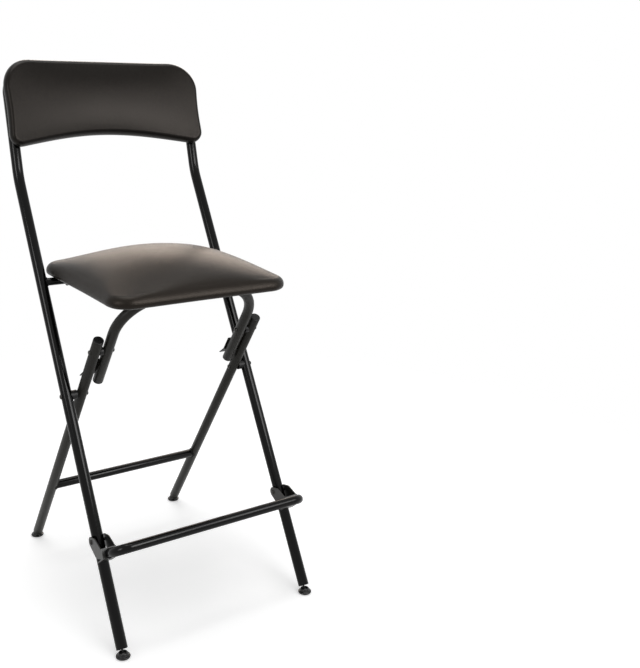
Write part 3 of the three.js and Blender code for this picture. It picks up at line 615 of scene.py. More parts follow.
def turned(profile, origin, axis, sides=TURNED_SIDES, shape=None):
    """A turned skin: origin + height * axis + radius * (cos a * side + sin a * lift).

    A profile that starts or ends on the axis is closed there. With shape, each row's radii are
    multiplied by their shares in shape(profile, a).
    """
    profile = np.asarray(profile, float)
    profile = profile[profile[:, 0] > 0]
    axis = unit(axis)
    helper = UPRIGHT if abs(axis @ UPRIGHT) < NEAR_UPRIGHT_SHARE else ACROSS
    side = unit(np.cross(axis, helper))
    lift = np.cross(axis, side)
    a = full_turn(sides)
    radii = profile[:, :1] * (np.ones(sides)[None] if shape is None else shape(profile, a))
    spokes = np.cos(a)[:, None] * side + np.sin(a)[:, None] * lift
    return shell(origin + profile[:, 1:, None] * axis + radii[..., None] * spokes[None])


def dome(radius, height, steps=DOME_STEPS):
    """Profile of a domed head from its top to its rim: radius * sin t, height * cos t."""
    t = np.linspace(0, math.pi / 2, steps + 1)
    return np.stack([radius * np.sin(t), height * np.cos(t)], -1)


def rippled(path, a, out, lift):
    """A rippled ring along a path: path + bead * (1 + ripple * sin(n a)) * (cos b * out + sin b * lift)."""
    b = full_turn(BEAD_SIDES)[None, :, None]
    size = frame_sizes().bead * (1 + RIPPLE_SHARE * np.sin(RIPPLES * a))[:, None, None]
    return torus(path[:, None] + size * (np.cos(b) * out[:, None] + np.sin(b) * lift[:, None]))


def weld_bead(centre, rail_diameter, carrier_x, carrier_up, carrier_diameter, inward):
    """A rippled bead round the joint of a cross tube and the tube that carries it.

    The joint's curve lies on the cross tube, at carrier_x + inward * sqrt(R^2 - w^2), where w is the
    distance from the carrier's axis plane.
    """
    rail = rail_diameter / 2
    carrier = carrier_diameter / 2
    a = full_turn(BEAD_STEPS)
    beside = np.cross(ACROSS, carrier_up)
    w = rail * np.sin(a)
    x = carrier_x + inward * np.sqrt(carrier ** 2 - w ** 2)
    path = (np.cos(a)[:, None] * carrier_up * rail + w[:, None] * beside
            + at(centre, 0.0) + x[:, None] * ACROSS)
    tangent = unit(np.roll(path, -1, 0) - np.roll(path, 1, 0))
    radial = unit(np.cos(a)[:, None] * carrier_up + np.sin(a)[:, None] * beside)
    return rippled(path, a, radial, unit(np.cross(tangent, radial)))


def welded_rail(node, diameter, carrier_x, carrier_up, carrier_diameter, sink_share):
    """A straight cross tube, sunk a share of its carriers' radius into them, and its two weld beads."""
    low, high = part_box(node)
    centre = node_middle(node)
    sink = carrier_diameter / 2 * sink_share
    rail = straight([at(centre, low.x - sink), at(centre, high.x + sink)], diameter, UPRIGHT)
    beads = [weld_bead(centre, diameter, side * carrier_x, carrier_up, carrier_diameter, -side)
             for _, side in SIDES]
    return rail, beads


# Materials


def new_group(name, inputs):
    """An empty shader group with named inputs (name, default), for a colour, a roughness and a height."""
    group = bpy.data.node_groups.new(name, "ShaderNodeTree")
    for label, default in inputs:
        kind = "NodeSocketFloat" if isinstance(default, (int, float)) else "NodeSocketColor"
        socket = group.interface.new_socket(label, in_out="INPUT", socket_type=kind)
        socket.default_value = default
    for label, kind in (("Color", "NodeSocketColor"), ("Roughness", "NodeSocketFloat"),
                        ("Height", "NodeSocketFloat")):
        group.interface.new_socket(label, in_out="OUTPUT", socket_type=kind)
    entry = group.nodes.new("NodeGroupInput")
    leave = group.nodes.new("NodeGroupOutput")
    return group, entry, leave


def opaque(colour):
    """A colour with its alpha set to 1."""
    return (*colour[:3], 1.0)


def link(tree, source, target):
    """Joins two sockets."""
    tree.links.new(source, target)


def math_node(tree, operation, first, second, clamp=False):
    """A Math node; each operand is a socket or a number."""
    node = tree.nodes.new("ShaderNodeMath")
    node.operation = operation
    node.use_clamp = clamp
    for socket, value in zip(node.inputs, (first, second)):
        if isinstance(value, (int, float)):
            socket.default_value = value
        else:
            link(tree, value, socket)
    return node.outputs[0]


def noise_node(tree, vector, scale, detail, rough=NOISE_ROUGHNESS):
    """A Noise texture on a vector; its scale is a socket or a number."""
    node = tree.nodes.new("ShaderNodeTexNoise")
    link(tree, vector, node.inputs["Vector"])
    if isinstance(scale, (int, float)):
        node.inputs["Scale"].default_value = scale
    else:
        link(tree, scale, node.inputs["Scale"])
    node.inputs["Detail"].default_value = detail
    node.inputs["Roughness"].default_value = rough
    return node.outputs["Fac"]


def range_node(tree, value, low, high, new_low, new_high):
    """Maps a value from one range to another, clamped."""
    node = tree.nodes.new("ShaderNodeMapRange")
    link(tree, value, node.inputs["Value"])
    for label, number in (("From Min", low), ("From Max", high), ("To Min", new_low), ("To Max", new_high)):
        if isinstance(number, (int, float)):
            node.inputs[label].default_value = number
        else:
            link(tree, number, node.inputs[label])
    return node.outputs["Result"]


def mix_colour(tree, factor, first, second):
    """A colour between two colours; each is a socket or a colour."""
    node = tree.nodes.new("ShaderNodeMix")
    node.data_type = "RGBA"
    link(tree, factor, node.inputs["Factor"])
    for socket, value in zip((node.inputs["A"], node.inputs["B"]), (first, second)):
        if isinstance(value, bpy.types.NodeSocket):
            link(tree, value, socket)
        else:
            socket.default_value = opaque(value)
    return node.outputs["Result"]


def paint_group():
    """Powder coat: fine waves in the film, and dust and rubbing that change tone and gloss."""
    name = "Coated steel"
    if name in bpy.data.node_groups:
        return bpy.data.node_groups[name]
    group, entry, leave = new_group(
        name,
        [("Vector", (0.0, 0.0, 0.0, 1.0)), ("Color", (0.1, 0.1, 0.1, 1.0)),
         ("Dust Color", (0.3, 0.3, 0.3, 1.0)), ("Wave Scale", 900.0), ("Dust", 0.1), ("Roughness", 0.3),
         ("Uneven", 0.08)])
    vector = entry.outputs["Vector"]
    wave = noise_node(group, vector, entry.outputs["Wave Scale"], COAT_WAVE_DETAIL)
    cloud = noise_node(group, vector, *COAT_CLOUD)
    speck = noise_node(group, vector, *COAT_SPECK)
    patch = range_node(group, cloud, *COAT_PATCH_RANGE, 0.0, 1.0)
    grit = range_node(group, speck, *COAT_GRIT_RANGE, 0.0, 1.0)
    film = math_node(group, "MULTIPLY", patch, COAT_DUST_SHARE)
    grains = math_node(group, "MULTIPLY", grit, COAT_DUST_SHARE)
    dusty = math_node(group, "ADD", film, grains, clamp=True)
    amount = math_node(group, "MULTIPLY", dusty, entry.outputs["Dust"])
    colour = mix_colour(group, amount, entry.outputs["Color"], entry.outputs["Dust Color"])
    swing = math_node(group, "SUBTRACT", cloud, MIDDLE_TONE)
    uneven = math_node(group, "MULTIPLY", swing, entry.outputs["Uneven"])
    rough = math_node(group, "ADD", entry.outputs["Roughness"], uneven)
    dull = math_node(group, "MULTIPLY", amount, COAT_DUST_ROUGHNESS)
    rougher = math_node(group, "ADD", rough, dull, clamp=True)
    link(group, colour, leave.inputs["Color"])
    link(group, rougher, leave.inputs["Roughness"])
    link(group, wave, leave.inputs["Height"])
    return group


def vinyl_group():
    """Upholstery vinyl: small pebbles with fine creases between them, the creases painted darker as painted
    shade, and a slow change of tone.
    """
    name = "Grained vinyl"
    if name in bpy.data.node_groups:
        return bpy.data.node_groups[name]
    group, entry, leave = new_group(
        name,
        [("Vector", (0.0, 0.0, 0.0, 1.0)), ("Color", (0.1, 0.1, 0.1, 1.0)),
         ("Crease Shade and Mottle Color", (0.05, 0.05, 0.05, 1.0)), ("Grain Scale", 700.0), ("Mottle", 0.3),
         ("Roughness", 0.4)])
    vector = entry.outputs["Vector"]
    warp = group.nodes.new("ShaderNodeTexNoise")
    link(group, vector, warp.inputs["Vector"])
    warp.inputs["Scale"].default_value = VINYL_WARP_SCALE
    bent = group.nodes.new("ShaderNodeVectorMath")
    bent.operation = "MULTIPLY_ADD"
    link(group, warp.outputs["Color"], bent.inputs[0])
    bent.inputs[1].default_value = [VINYL_WARP_REACH] * 3
    link(group, vector, bent.inputs[2])
    cells = group.nodes.new("ShaderNodeTexVoronoi")
    cells.feature = "DISTANCE_TO_EDGE"
    link(group, bent.outputs["Vector"], cells.inputs["Vector"])
    link(group, entry.outputs["Grain Scale"], cells.inputs["Scale"])
    pebble = range_node(group, cells.outputs["Distance"], *VINYL_PEBBLE_RANGE, 0.0, 1.0)
    fine = math_node(group, "MULTIPLY", noise_node(group, vector, *VINYL_FINE), VINYL_FINE_SHARE)
    height = math_node(group, "ADD", pebble, fine)
    cloud = noise_node(group, vector, *VINYL_CLOUD)
    tone = range_node(group, cloud, *VINYL_TONE_RANGE, 0.0, 1.0)
    crease = math_node(group, "SUBTRACT", 1.0, pebble)
    # Painted shade: the creases between the pebbles are darkened; the mottle is the vinyl's own tone
    crease_shade = math_node(group, "MULTIPLY", crease, VINYL_CREASE_SHADE_SHARE)
    mottle = math_node(group, "MULTIPLY", tone, entry.outputs["Mottle"])
    dark = math_node(group, "ADD", crease_shade, mottle, clamp=True)
    colour = mix_colour(group, dark, entry.outputs["Color"], entry.outputs["Crease Shade and Mottle Color"])
    dull = math_node(group, "MULTIPLY", crease, VINYL_UNEVEN_ROUGHNESS)
    rough = math_node(group, "ADD", entry.outputs["Roughness"], dull)
    swing = math_node(group, "SUBTRACT", cloud, MIDDLE_TONE)
    uneven = math_node(group, "MULTIPLY", swing, VINYL_UNEVEN_ROUGHNESS)
    rougher = math_node(group, "ADD", rough, uneven)
    link(group, colour, leave.inputs["Color"])
    link(group, rougher, leave.inputs["Roughness"])
    link(group, height, leave.inputs["Height"])
    return group


def surface(name, group, values, bump, depth, shader):
    """A material: a group on Object coordinates feeds a Principled shader, with its height as a bump."""
    if name in bpy.data.materials:
        return bpy.data.materials[name]
    material = bpy.data.materials.new(name)
    material.use_nodes = True
    tree = material.node_tree
    principled = tree.nodes["Principled BSDF"]
    place = tree.nodes.new("ShaderNodeTexCoord")
    pattern = tree.nodes.new("ShaderNodeGroup")
    pattern.node_tree = group
    link(tree, place.outputs["Object"], pattern.inputs["Vector"])
    for label, value in values.items():
        pattern.inputs[label].default_value = value if isinstance(value, (int, float)) else opaque(value)
    link(tree, pattern.outputs["Color"], principled.inputs["Base Color"])
    link(tree, pattern.outputs["Roughness"], principled.inputs["Roughness"])
    relief = tree.nodes.new("ShaderNodeBump")
    relief.inputs["Strength"].default_value = bump
    relief.inputs["Distance"].default_value = depth
    link(tree, pattern.outputs["Height"], relief.inputs["Height"])
    link(tree, relief.outputs["Normal"], principled.inputs["Normal"])
    for label, value in shader.items():
        principled.inputs[label].default_value = value
    material.diffuse_color = opaque(values["Color"])
    return material


def coated(name, colour, dust_colour, waves, dust, roughness, uneven, bump, depth=COAT_DEPTH,
           specular=None, metallic=0.0):
    """A coat: its colour, the dust on it, its waves per metre, and how far its roughness changes."""
    values = {"Color": colour, "Dust Color": dust_colour, "Wave Scale": waves, "Dust": dust,
              "Roughness": roughness, "Uneven": uneven}
    if specular is None:
        return surface(name, paint_group(), values, bump, depth, {"Metallic": metallic})
    return surface(name, paint_group(), values, bump, depth,
                   {"IOR": COAT_IOR, "Specular IOR Level": specular})


def gloss_black():
    """Gloss black powder coat of the main frame and the footrest bar."""
    return coated("coat_gloss_black", colours().gloss_black, dust_colour=(0.10, 0.096, 0.09), waves=700.0,
                  dust=0.0, roughness=0.16, uneven=0.03, bump=0.01, specular=0.17)


def satin_dark():
    """Satin dark paint of the rear legs and the bow."""
    return coated("coat_satin_dark", colours().satin_dark, dust_colour=(0.12, 0.115, 0.1), waves=1100.0,
                  dust=0.03, roughness=0.42, uneven=0.08, bump=0.1, specular=0.22)


def stretcher_shaded_copy():
    """The rear frame's paint on the stretcher, in the main frame's gloss black: a darker, glossier copy of
    the legs' paint, its darkness painted shade.
    """
    return coated("coat_stretcher_shaded_copy", colours().gloss_black, dust_colour=(0.1, 0.096, 0.09), waves=900.0,
                  dust=0.0, roughness=0.2, uneven=0.03, bump=0.01, specular=0.2)


def bracket_paint():
    """Paint of the pressed steel brackets and straps."""
    return coated("coat_bracket", colours().bracket, dust_colour=(0.16, 0.155, 0.145), waves=1000.0,
                  dust=0.06, roughness=0.34, uneven=0.1, bump=0.15, specular=0.35)


def rivet_steel():
    """Blackened steel of rivets, pins, screws and staples."""
    return coated("steel_blackened", colours().rivet, dust_colour=(0.3, 0.28, 0.25), waves=2400.0,
                  dust=0.15, roughness=0.33, uneven=0.12, bump=0.12, depth=0.0001, metallic=0.8)


def black_plastic():
    """Moulded black plastic of caps, plugs and spacers."""
    return coated("moulded_black", colours().plastic, dust_colour=(0.1, 0.096, 0.09), waves=1500.0,
                  dust=0.06, roughness=0.46, uneven=0.1, bump=0.25, specular=0.3)


def glide_plastic():
    """Glossy black plastic of the glides."""
    return coated("moulded_glide", colours().plastic, dust_colour=(0.12, 0.115, 0.11), waves=1200.0,
                  dust=0.06, roughness=0.2, uneven=0.1, bump=0.12, specular=0.35)


def grained(name, colour, shade_and_mottle_share, mottle, roughness, bump, specular, tint):
    """A vinyl: its colour, the share of it in the creases' painted shade and in its darker mottle, its change
    of tone, and its gloss's tint.
    """
    values = {"Color": colour, "Crease Shade and Mottle Color": [channel * shade_and_mottle_share for channel in colour],
              "Grain Scale": VINYL_GRAIN_SCALE, "Mottle": mottle, "Roughness": roughness}
    return surface(name, vinyl_group(), values, bump, VINYL_DEPTH,
                   {"IOR": VINYL_IOR, "Specular IOR Level": specular, "Specular Tint": opaque(tint)})


def seat_vinyl():
    """Warm grey-brown vinyl of the seat."""
    return grained("vinyl_seat", colours().seat_vinyl, shade_and_mottle_share=0.62, mottle=0.18, roughness=0.3,
                   bump=0.22, specular=0.15, tint=(1.0, 0.87, 0.76))


def back_vinyl():
    """Darker vinyl of the back."""
    return grained("vinyl_back", colours().back_vinyl, shade_and_mottle_share=0.6, mottle=0.2, roughness=0.26,
                   bump=0.2, specular=0.13, tint=(1.0, 0.9, 0.82))


def board_stain():
    """Black-stained plywood of the boards."""
    return coated("stained_board", colours().board, dust_colour=(0.08, 0.074, 0.066), waves=420.0,
                  dust=0.3, roughness=0.7, uneven=0.15, bump=0.4, depth=0.0004, specular=0.3)


# The frame's lines


def main_end():
    """Lower end of the main legs in the side view."""
    return along(FOOT_PIVOT, MAIN_UP, frame_sizes().end_height)


def rear_end():
    """Lower end of the rear legs in the side view."""
    return along(CROSSING, REAR_UP, frame_sizes().end_height)


def upper_up():
    """Direction of the back's uprights."""
    tilt = frame_sizes().upper_tilt
    return np.array([0.0, math.sin(tilt), math.cos(tilt)])


def upper_front():
    """Direction in front of the back's uprights, square to them."""
    up = upper_up()
    return np.array([0.0, -up[2], up[1]])


def back_bend():
    """Corner of the main legs' bend in the side view."""
    return along(FOOT_PIVOT, MAIN_UP, frame_sizes().bend_height)


def on_back(x, up, forward):
    """Points of the bowed back: bend + up * uprights + (forward - dip * (1 - (x / X)^2)) * front."""
    x, up, forward = np.broadcast_arrays(x, up, forward)
    dip = frame_sizes().back_dip * (1 - (x / MAIN_X) ** 2)
    return (at(back_bend(), 0.0) + x[..., None] * ACROSS + up[..., None] * upper_up()
            + (forward - dip)[..., None] * upper_front())


def up_to(height):
    """Distance along the uprights from their bend to a height."""
    return (height - frame_sizes().bend_height) / upper_up()[2]


# Tubes and fittings


class STOOL_OT_main_frame(bpy.types.Operator):
    """Main legs, top tube, the rail behind the seat and its welds"""

    bl_idname = "stool.main_frame"
    bl_label = "Main frame"

    def execute(self, context):
        sizes = frame_sizes()
        fits = fitting_sizes()
        radius = sizes.main_tube / 2
        paint = gloss_black()
        top = along(back_bend(), upper_up(), sizes.joint_height)
        for name, side in SIDES:
            corners = [at(point, side * MAIN_X) for point in (main_end(), back_bend(), top)]
            leg = tube(rounded_path(corners, sizes.bend_radius), sizes.main_tube, ACROSS,
                       open_end(radius, fits.plug_shank), open_end(radius, fits.plug_shank))
            build(f"main_leg_tube_{name}", [leg], paint, "main_frame", "gloss_black_paint",
                  f"main_leg_{name}")
        build("top_tube_bowed", [self.top_tube()], paint, "main_frame", "gloss_black_paint",
              "frame_top_tube")
        rail, beads = welded_rail("seat_rear_rail", sizes.rail_tube, MAIN_X, MAIN_UP, sizes.main_tube,
                                  RAIL_SINK_SHARE)
        build("rear_rail_tube", [rail], paint, "main_frame", "gloss_black_paint", "seat_rear_rail")
        build("rear_rail_welds", beads, paint, "main_frame", "gloss_black_paint")
        return {"FINISHED"}

    def top_tube(self):
        """Bowed tube: up from each joint, round a corner of radius r, and along the dipping rail."""
        sizes = frame_sizes()
        fits = fitting_sizes()
        start = up_to(sizes.joint_height) + fits.fit
        corner = up_to(sizes.rail_height) - sizes.top_corner
        t = np.linspace(0, math.pi / 2, ARC_STEPS + 1)
        x = -MAIN_X + sizes.top_corner * (1 - np.cos(t))
        up = corner + sizes.top_corner * np.sin(t)
        rail_x = np.linspace(x[-1], -x[-1], 2 * ARC_STEPS + 1)[1:-1]
        rail_up = np.full(len(rail_x), up[-1])
        half_x = np.concatenate([[-MAIN_X], x])
        half_up = np.concatenate([[start], up])
        xs = np.concatenate([half_x, rail_x, -half_x[::-1]])
        ups = np.concatenate([half_up, rail_up, half_up[::-1]])
        end = spigot_end(sizes.main_tube / 2, fits.plug_shank)
        return tube(on_back(xs, ups, 0.0), sizes.main_tube, upper_front(), end, end)


class STOOL_OT_rear_frame(bpy.types.Operator):
    """Rear legs, their stretcher and its welds"""

    bl_idname = "stool.rear_frame"
    bl_label = "Rear frame"

    def execute(self, context):
        sizes = frame_sizes()
        fits = fitting_sizes()
        radius = sizes.rear_tube / 2
        paint = satin_dark()
        top = CROSSING + REAR_UP * sizes.rear_top
        for name, side in SIDES:
            ends = [at(rear_end(), side * REAR_X), at(top, side * REAR_X)]
            leg = straight(ends, sizes.rear_tube, ACROSS,
                           [open_end(radius, fits.plug_shank), open_end(radius, fits.cap_shank)])
            build(f"rear_leg_tube_{name}", [leg], paint, "rear_frame", "satin_dark_paint",
                  f"rear_leg_{name}")
        bar, beads = welded_rail("rear_stretcher", sizes.cross_tube, REAR_X, REAR_UP, sizes.rear_tube,
                                 STRETCHER_SINK_SHARE)
        # The stretcher gets a darker copy of the legs' paint: painted shade
        gloss = stretcher_shaded_copy()
        build("stretcher_tube", [bar], gloss, "rear_frame", "satin_dark_paint", "rear_stretcher")
        build("stretcher_welds", beads, gloss, "rear_frame", "satin_dark_paint")
        return {"FINISHED"}


class STOOL_OT_seat_bow(bpy.types.Operator):
    """Bow that carries the seat's front"""

    bl_idname = "stool.seat_bow"
    bl_label = "Seat bow"

    def execute(self, context):
        sizes = frame_sizes()
        end = FOLD - REAR_UP * sizes.bow_tail
        corners = [at(end, -BOW_X), at(BOW_RAIL, -BOW_X), at(BOW_RAIL, BOW_X), at(end, BOW_X)]
        profile = open_end(sizes.rear_tube / 2, fitting_sizes().cap_shank)
        bow = tube(rounded_path(corners, sizes.bow_bend), sizes.rear_tube, REAR_BACK, profile, profile)
        build("seat_bow_tube", [bow], satin_dark(), "folding_bow", "satin_dark_paint", "seat_bow")
        return {"FINISHED"}


class STOOL_OT_footrest(bpy.types.Operator):
    """Footrest bar with its swept ends and their welds"""

    bl_idname = "stool.footrest"
    bl_label = "Footrest"

    def execute(self, context):
        sizes = frame_sizes()
        root = FOOT_PIVOT - MAIN_UP * sizes.footrest_drop + MAIN_FRONT * sizes.footrest_root
        front = FOOT_PIVOT - MAIN_UP * sizes.footrest_drop + MAIN_FRONT * sizes.footrest_reach
        corners = [at(root, -MAIN_X), at(front, -MAIN_X), at(front, MAIN_X), at(root, MAIN_X)]
        profile = flat_end(sizes.cross_tube / 2)
        bar = tube(rounded_path(corners, sizes.footrest_bend), sizes.cross_tube, MAIN_UP, profile, profile)
        paint = gloss_black()
        build("footrest_bar_tube", [bar], paint, "footrest", "gloss_black_paint", "footrest_bar")
        beads = [self.end_bead(at(root, side * MAIN_X)) for _, side in SIDES]
        build("footrest_welds", beads, paint, "footrest", "gloss_black_paint")
        return {"FINISHED"}

    def end_bead(self, centre):
        """A rippled ring, flatter outwards, where the bar butts on its bracket's face."""
        a = full_turn(BEAD_STEPS)
        radial = np.cos(a)[:, None] * ACROSS + np.sin(a)[:, None] * MAIN_UP
        path = centre + radial * frame_sizes().cross_tube / 2
        return rippled(path, a, radial * BUTT_BEAD_SHARE, np.broadcast_to(MAIN_FRONT, path.shape))


class STOOL_OT_fasteners(bpy.types.Operator):
    """Rivets of the pivots, pins of the rear hinge and screws of the back"""

    bl_idname = "stool.fasteners"
    bl_label = "Fasteners"

    def execute(self, context):
        steel = rivet_steel()
        for name, side in SIDES:
            for node, body in (("cross_rivet", "main_frame"), ("footrest_rivet", "main_frame"),
                               ("link_rivet", "rear_frame")):
                source = f"{node}_{name}"
                build(f"{source}_domed", [self.rivet(source)], steel, body, "dark_rivet", source)
            for node, body in (("hinge_lug_pin", "main_frame"), ("hinge_bracket_pin", "seat")):
                source = f"{node}_{name}"
                outward = side if node == "hinge_lug_pin" else -side
                build(f"{source}_domed", [self.pin(source, outward)], steel, body, "dark_rivet", source)
            for number in (1, 2):
                source = f"back_screw_{name}_{number}"
                build(f"{source}_socket_head", [self.screw(source)], steel, "main_frame",
                      "dark_rivet", source)
        return {"FINISHED"}

    def rivet(self, node):
        """A shank between two domed heads, lying across the stool."""
        fits = fitting_sizes()
        low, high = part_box(node)
        head = dome(fits.head / 2, fits.dome)
        lower = head * [1, -1] + [0, low.x + fits.dome]
        upper = (head + [0, high.x - fits.dome])[::-1]
        shank = [[fits.shank / 2, low.x + fits.dome], [fits.shank / 2, high.x - fits.dome]]
        return turned(np.concatenate([lower, shank, upper]), at(node_middle(node), 0.0), ACROSS)

    def pin(self, node, outward):
        """A short shank with one domed head."""
        fits = fitting_sizes()
        low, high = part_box(node)
        length = high.x - low.x
        tail = low.x if outward > 0 else high.x
        head = (dome(fits.pin_head / 2, fits.pin_dome) + [0, length - fits.pin_dome])[::-1]
        profile = np.concatenate([[[fits.shank / 2 - fits.edge, 0], [fits.shank / 2, fits.edge]],
                                  [[fits.shank / 2, length - fits.pin_dome]], head])
        return turned(profile, at(node_middle(node), tail), ACROSS * outward)

    def screw(self, node):
        """A button head with a six-sided socket, through the upright into the back's board.

        In the socket the radius is the flats' half width over cos of the angle from the nearest flat.
        """
        fits = fitting_sizes()
        low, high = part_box(node)
        forward = upper_front()
        reach = (high.y - low.y - fits.screw_head * upper_up()[1]) / (2 * abs(forward[1]))
        radius = fits.screw_head / 2
        key = fits.key / 2
        cap = dome(radius, fits.screw_dome, SCREW_DOME_STEPS)
        cap = cap[cap[:, 0] > key * SOCKET_DISH_SHARE] * [1, -1] + [0, -reach + fits.screw_dome]
        rim = cap[0, 1]
        socket = [[key, rim + fits.key_depth], [key, rim + fits.edge], [key * SOCKET_RIM_SHARE, rim]]
        shank = [[fits.screw_shank / 2, cap[-1, 1]], [fits.screw_shank / 2, reach]]

        def shape(profile, a):
            """Radius shares of each row: a hexagon inside the socket, a circle outside it."""
            sector = math.tau / SOCKET_FLATS
            off = (a + sector / 2) % sector - sector / 2
            inside = np.arange(len(profile))[:, None] < len(socket)
            return np.where(inside, 1 / np.cos(off)[None], 1.0)

        return turned(np.concatenate([socket, cap, shank]), node_middle(node), forward, shape=shape)


class STOOL_OT_plastics(bpy.types.Operator):
    """Spacers, tube caps and foot plugs"""

    bl_idname = "stool.plastics"
    bl_label = "Caps, plugs and spacers"

    def execute(self, context):
        sizes = frame_sizes()
        fits = fitting_sizes()
        plastic = black_plastic()
        bow_end = FOLD - REAR_UP * sizes.bow_tail
        rear_top = CROSSING + REAR_UP * sizes.rear_top
        rear_radius = sizes.rear_tube / 2
        for name, side in SIDES:
            cross = self.saddle(CROSSING, side * (REAR_X + rear_radius + fits.fit), side * MAIN_X, MAIN_UP,
                                sizes.main_tube, fits.cross_spacer)
            build(f"cross_spacer_cup_{name}", [cross], plastic, "main_frame", "black_plastic",
                  f"cross_spacer_{name}")
            link_cup = self.saddle(FOLD, side * (BOW_X + rear_radius + fits.fit), side * REAR_X, REAR_UP,
                                   sizes.rear_tube, fits.link_spacer)
            build(f"link_spacer_cup_{name}", [link_cup], plastic, "rear_frame", "black_plastic",
                  f"link_spacer_{name}")
            for node, body, end, outward in (
                    ("rear_leg_cap", "rear_frame", at(rear_top, side * REAR_X), REAR_UP),
                    ("bow_cap", "folding_bow", at(bow_end, side * BOW_X), -REAR_UP)):
                cap = turned(self.cap_profile(sizes.rear_tube), end, outward)
                build(f"{node}_moulded_{name}", [cap], plastic, body, "black_plastic", f"{node}_{name}")
            for node, body, end, up, diameter in (
                    ("main_foot_plug", "main_frame", at(main_end(), side * MAIN_X), MAIN_UP, sizes.main_tube),
                    ("rear_foot_plug", "rear_frame", at(rear_end(), side * REAR_X), REAR_UP,
                     sizes.rear_tube)):
                plug = turned(self.plug_profile(diameter, up), end, up)
                build(f"{node}_moulded_{name}", [plug], plastic, body, "black_plastic", f"{node}_{name}")
        return {"FINISHED"}

    def saddle(self, point, face_x, carrier_x, carrier_up, carrier_diameter, diameter):
        """A ring between two tubes whose far end is saddled: x = carrier - s * sqrt(R^2 - w^2)."""
        fits = fitting_sizes()
        outward = math.copysign(1, carrier_x - face_x)
        edge = fits.edge
        a = full_turn(TURNED_SIDES)
        radii = np.array([fits.hole / 2, diameter / 2 - edge, diameter / 2, diameter / 2,
                          diameter / 2 - edge, fits.hole / 2])
        setbacks = np.array([0, 0, edge, edge, 0, 0])
        beside = np.cross(ACROSS, carrier_up)
        reach = carrier_diameter / 2 + fits.fit
        w = radii[:, None] * np.sin(a)[None]
        saddle_x = carrier_x - outward * (np.sqrt(reach ** 2 - w ** 2) + setbacks[:, None])
        face = face_x + outward * setbacks[:, None] + 0 * w
        on_face = np.arange(len(radii)) < len(radii) // 2
        x = np.where(on_face[:, None], face, saddle_x)
        rings = (x[..., None] * ACROSS + at(point, 0.0)
                 + radii[:, None, None] * (np.cos(a)[None, :, None] * carrier_up
                                           + np.sin(a)[None, :, None] * beside))
        return torus(rings)

    def cap_profile(self, diameter):
        """A shank in the tube and a flat button that covers the tube's end."""
        sizes = frame_sizes()
        fits = fitting_sizes()
        shank = diameter / 2 - sizes.wall - fits.fit
        rise_share, flat_share = CAP_EDGE_SHARES
        profile = [[0, -fits.cap_shank], [shank, -fits.cap_shank], [shank, fits.fit],
                   [diameter / 2, fits.fit], [diameter / 2, fits.cap_dome * rise_share],
                   [diameter / 2 * flat_share, fits.cap_dome], [0, fits.cap_dome]]
        return eased(profile, fits.cap_edge)

    def plug_profile(self, diameter, up):
        """A ball, its neck, and the shank that fills the tube's end."""
        sizes = frame_sizes()
        fits = fitting_sizes()
        shank = diameter / 2 - sizes.wall - fits.fit
        ball = fits.ball / 2
        neck = fits.neck / 2
        middle = -(sizes.end_height - fits.ball_height) / up[2]
        t = np.linspace(0, math.pi - math.asin(neck / ball), BALL_STEPS)
        sphere = np.stack([ball * np.sin(t), middle - ball * np.cos(t)], -1)
        stem = eased([[neck, sphere[-1, 1]], [neck, 0], [shank, 0], [shank, fits.plug_shank],
                      [0, fits.plug_shank]], fits.plug_edge)
        return np.concatenate([sphere, stem])


class STOOL_OT_glides(bpy.types.Operator):
    """Swivel glides under the four legs"""

    bl_idname = "stool.glides"
    bl_label = "Glides"

    def execute(self, context):
        plastic = glide_plastic()
        for node, joint in (("main_foot_glide", "front_glide"), ("rear_foot_glide", "rear_glide")):
            for name, _ in SIDES:
                ball = joint_place(f"{joint}_{name}_tilt")
                place = np.array([ball[0], ball[1], 0.0])
                glide = turned(self.profile(), place, UPRIGHT)
                build(f"{node}_moulded_{name}", [glide], plastic, f"{joint}_{name}",
                      "glide_plastic", f"{node}_{name}")
        return {"FINISHED"}

    def profile(self):
        """A flat foot with a rounded edge, a dome on it, and the cup that holds the ball."""
        fits = fitting_sizes()
        foot = fits.glide / 2
        housing = fits.housing / 2
        top = fits.glide_top
        lower = [[foot * wide, top * high] for wide, high in GLIDE_FOOT_SHARES]
        upper = [[housing * wide, top * high] for wide, high in GLIDE_DOME_SHARES]
        outside = eased([[0, 0], *lower, *upper, [fits.mouth / 2, top]], fits.glide_edge, GLIDE_EASE_STEPS)
        cup = fits.cup / 2
        t = np.linspace(CUP_ANGLE, 0, CUP_STEPS)
        inside = np.stack([cup * np.sin(t), fits.ball_height - cup * np.cos(t)], -1)
        return np.concatenate([outside, inside])


class STOOL_OT_pressed_steel(bpy.types.Operator):
    """Brackets, lugs, straps and stops, with their edges eased"""

    bl_idname = "stool.pressed_steel"
    bl_label = "Pressed steel"

    def execute(self, context):
        black = gloss_black()
        grey = bracket_paint()
        dark = satin_dark()
        for name, _ in SIDES:
            finished_copy(f"footrest_bracket_{name}", grey, "footrest", "bracket_paint")
            finished_copy(f"rail_strap_{name}", grey, "seat", "bracket_paint")
            finished_copy(f"hinge_bracket_{name}", grey, "seat", "bracket_paint")
            finished_copy(f"hinge_lug_{name}", black, "main_frame", "gloss_black_paint")
            finished_copy(f"bow_stop_{name}", dark, "folding_bow", "satin_dark_paint")
        return {"FINISHED"}


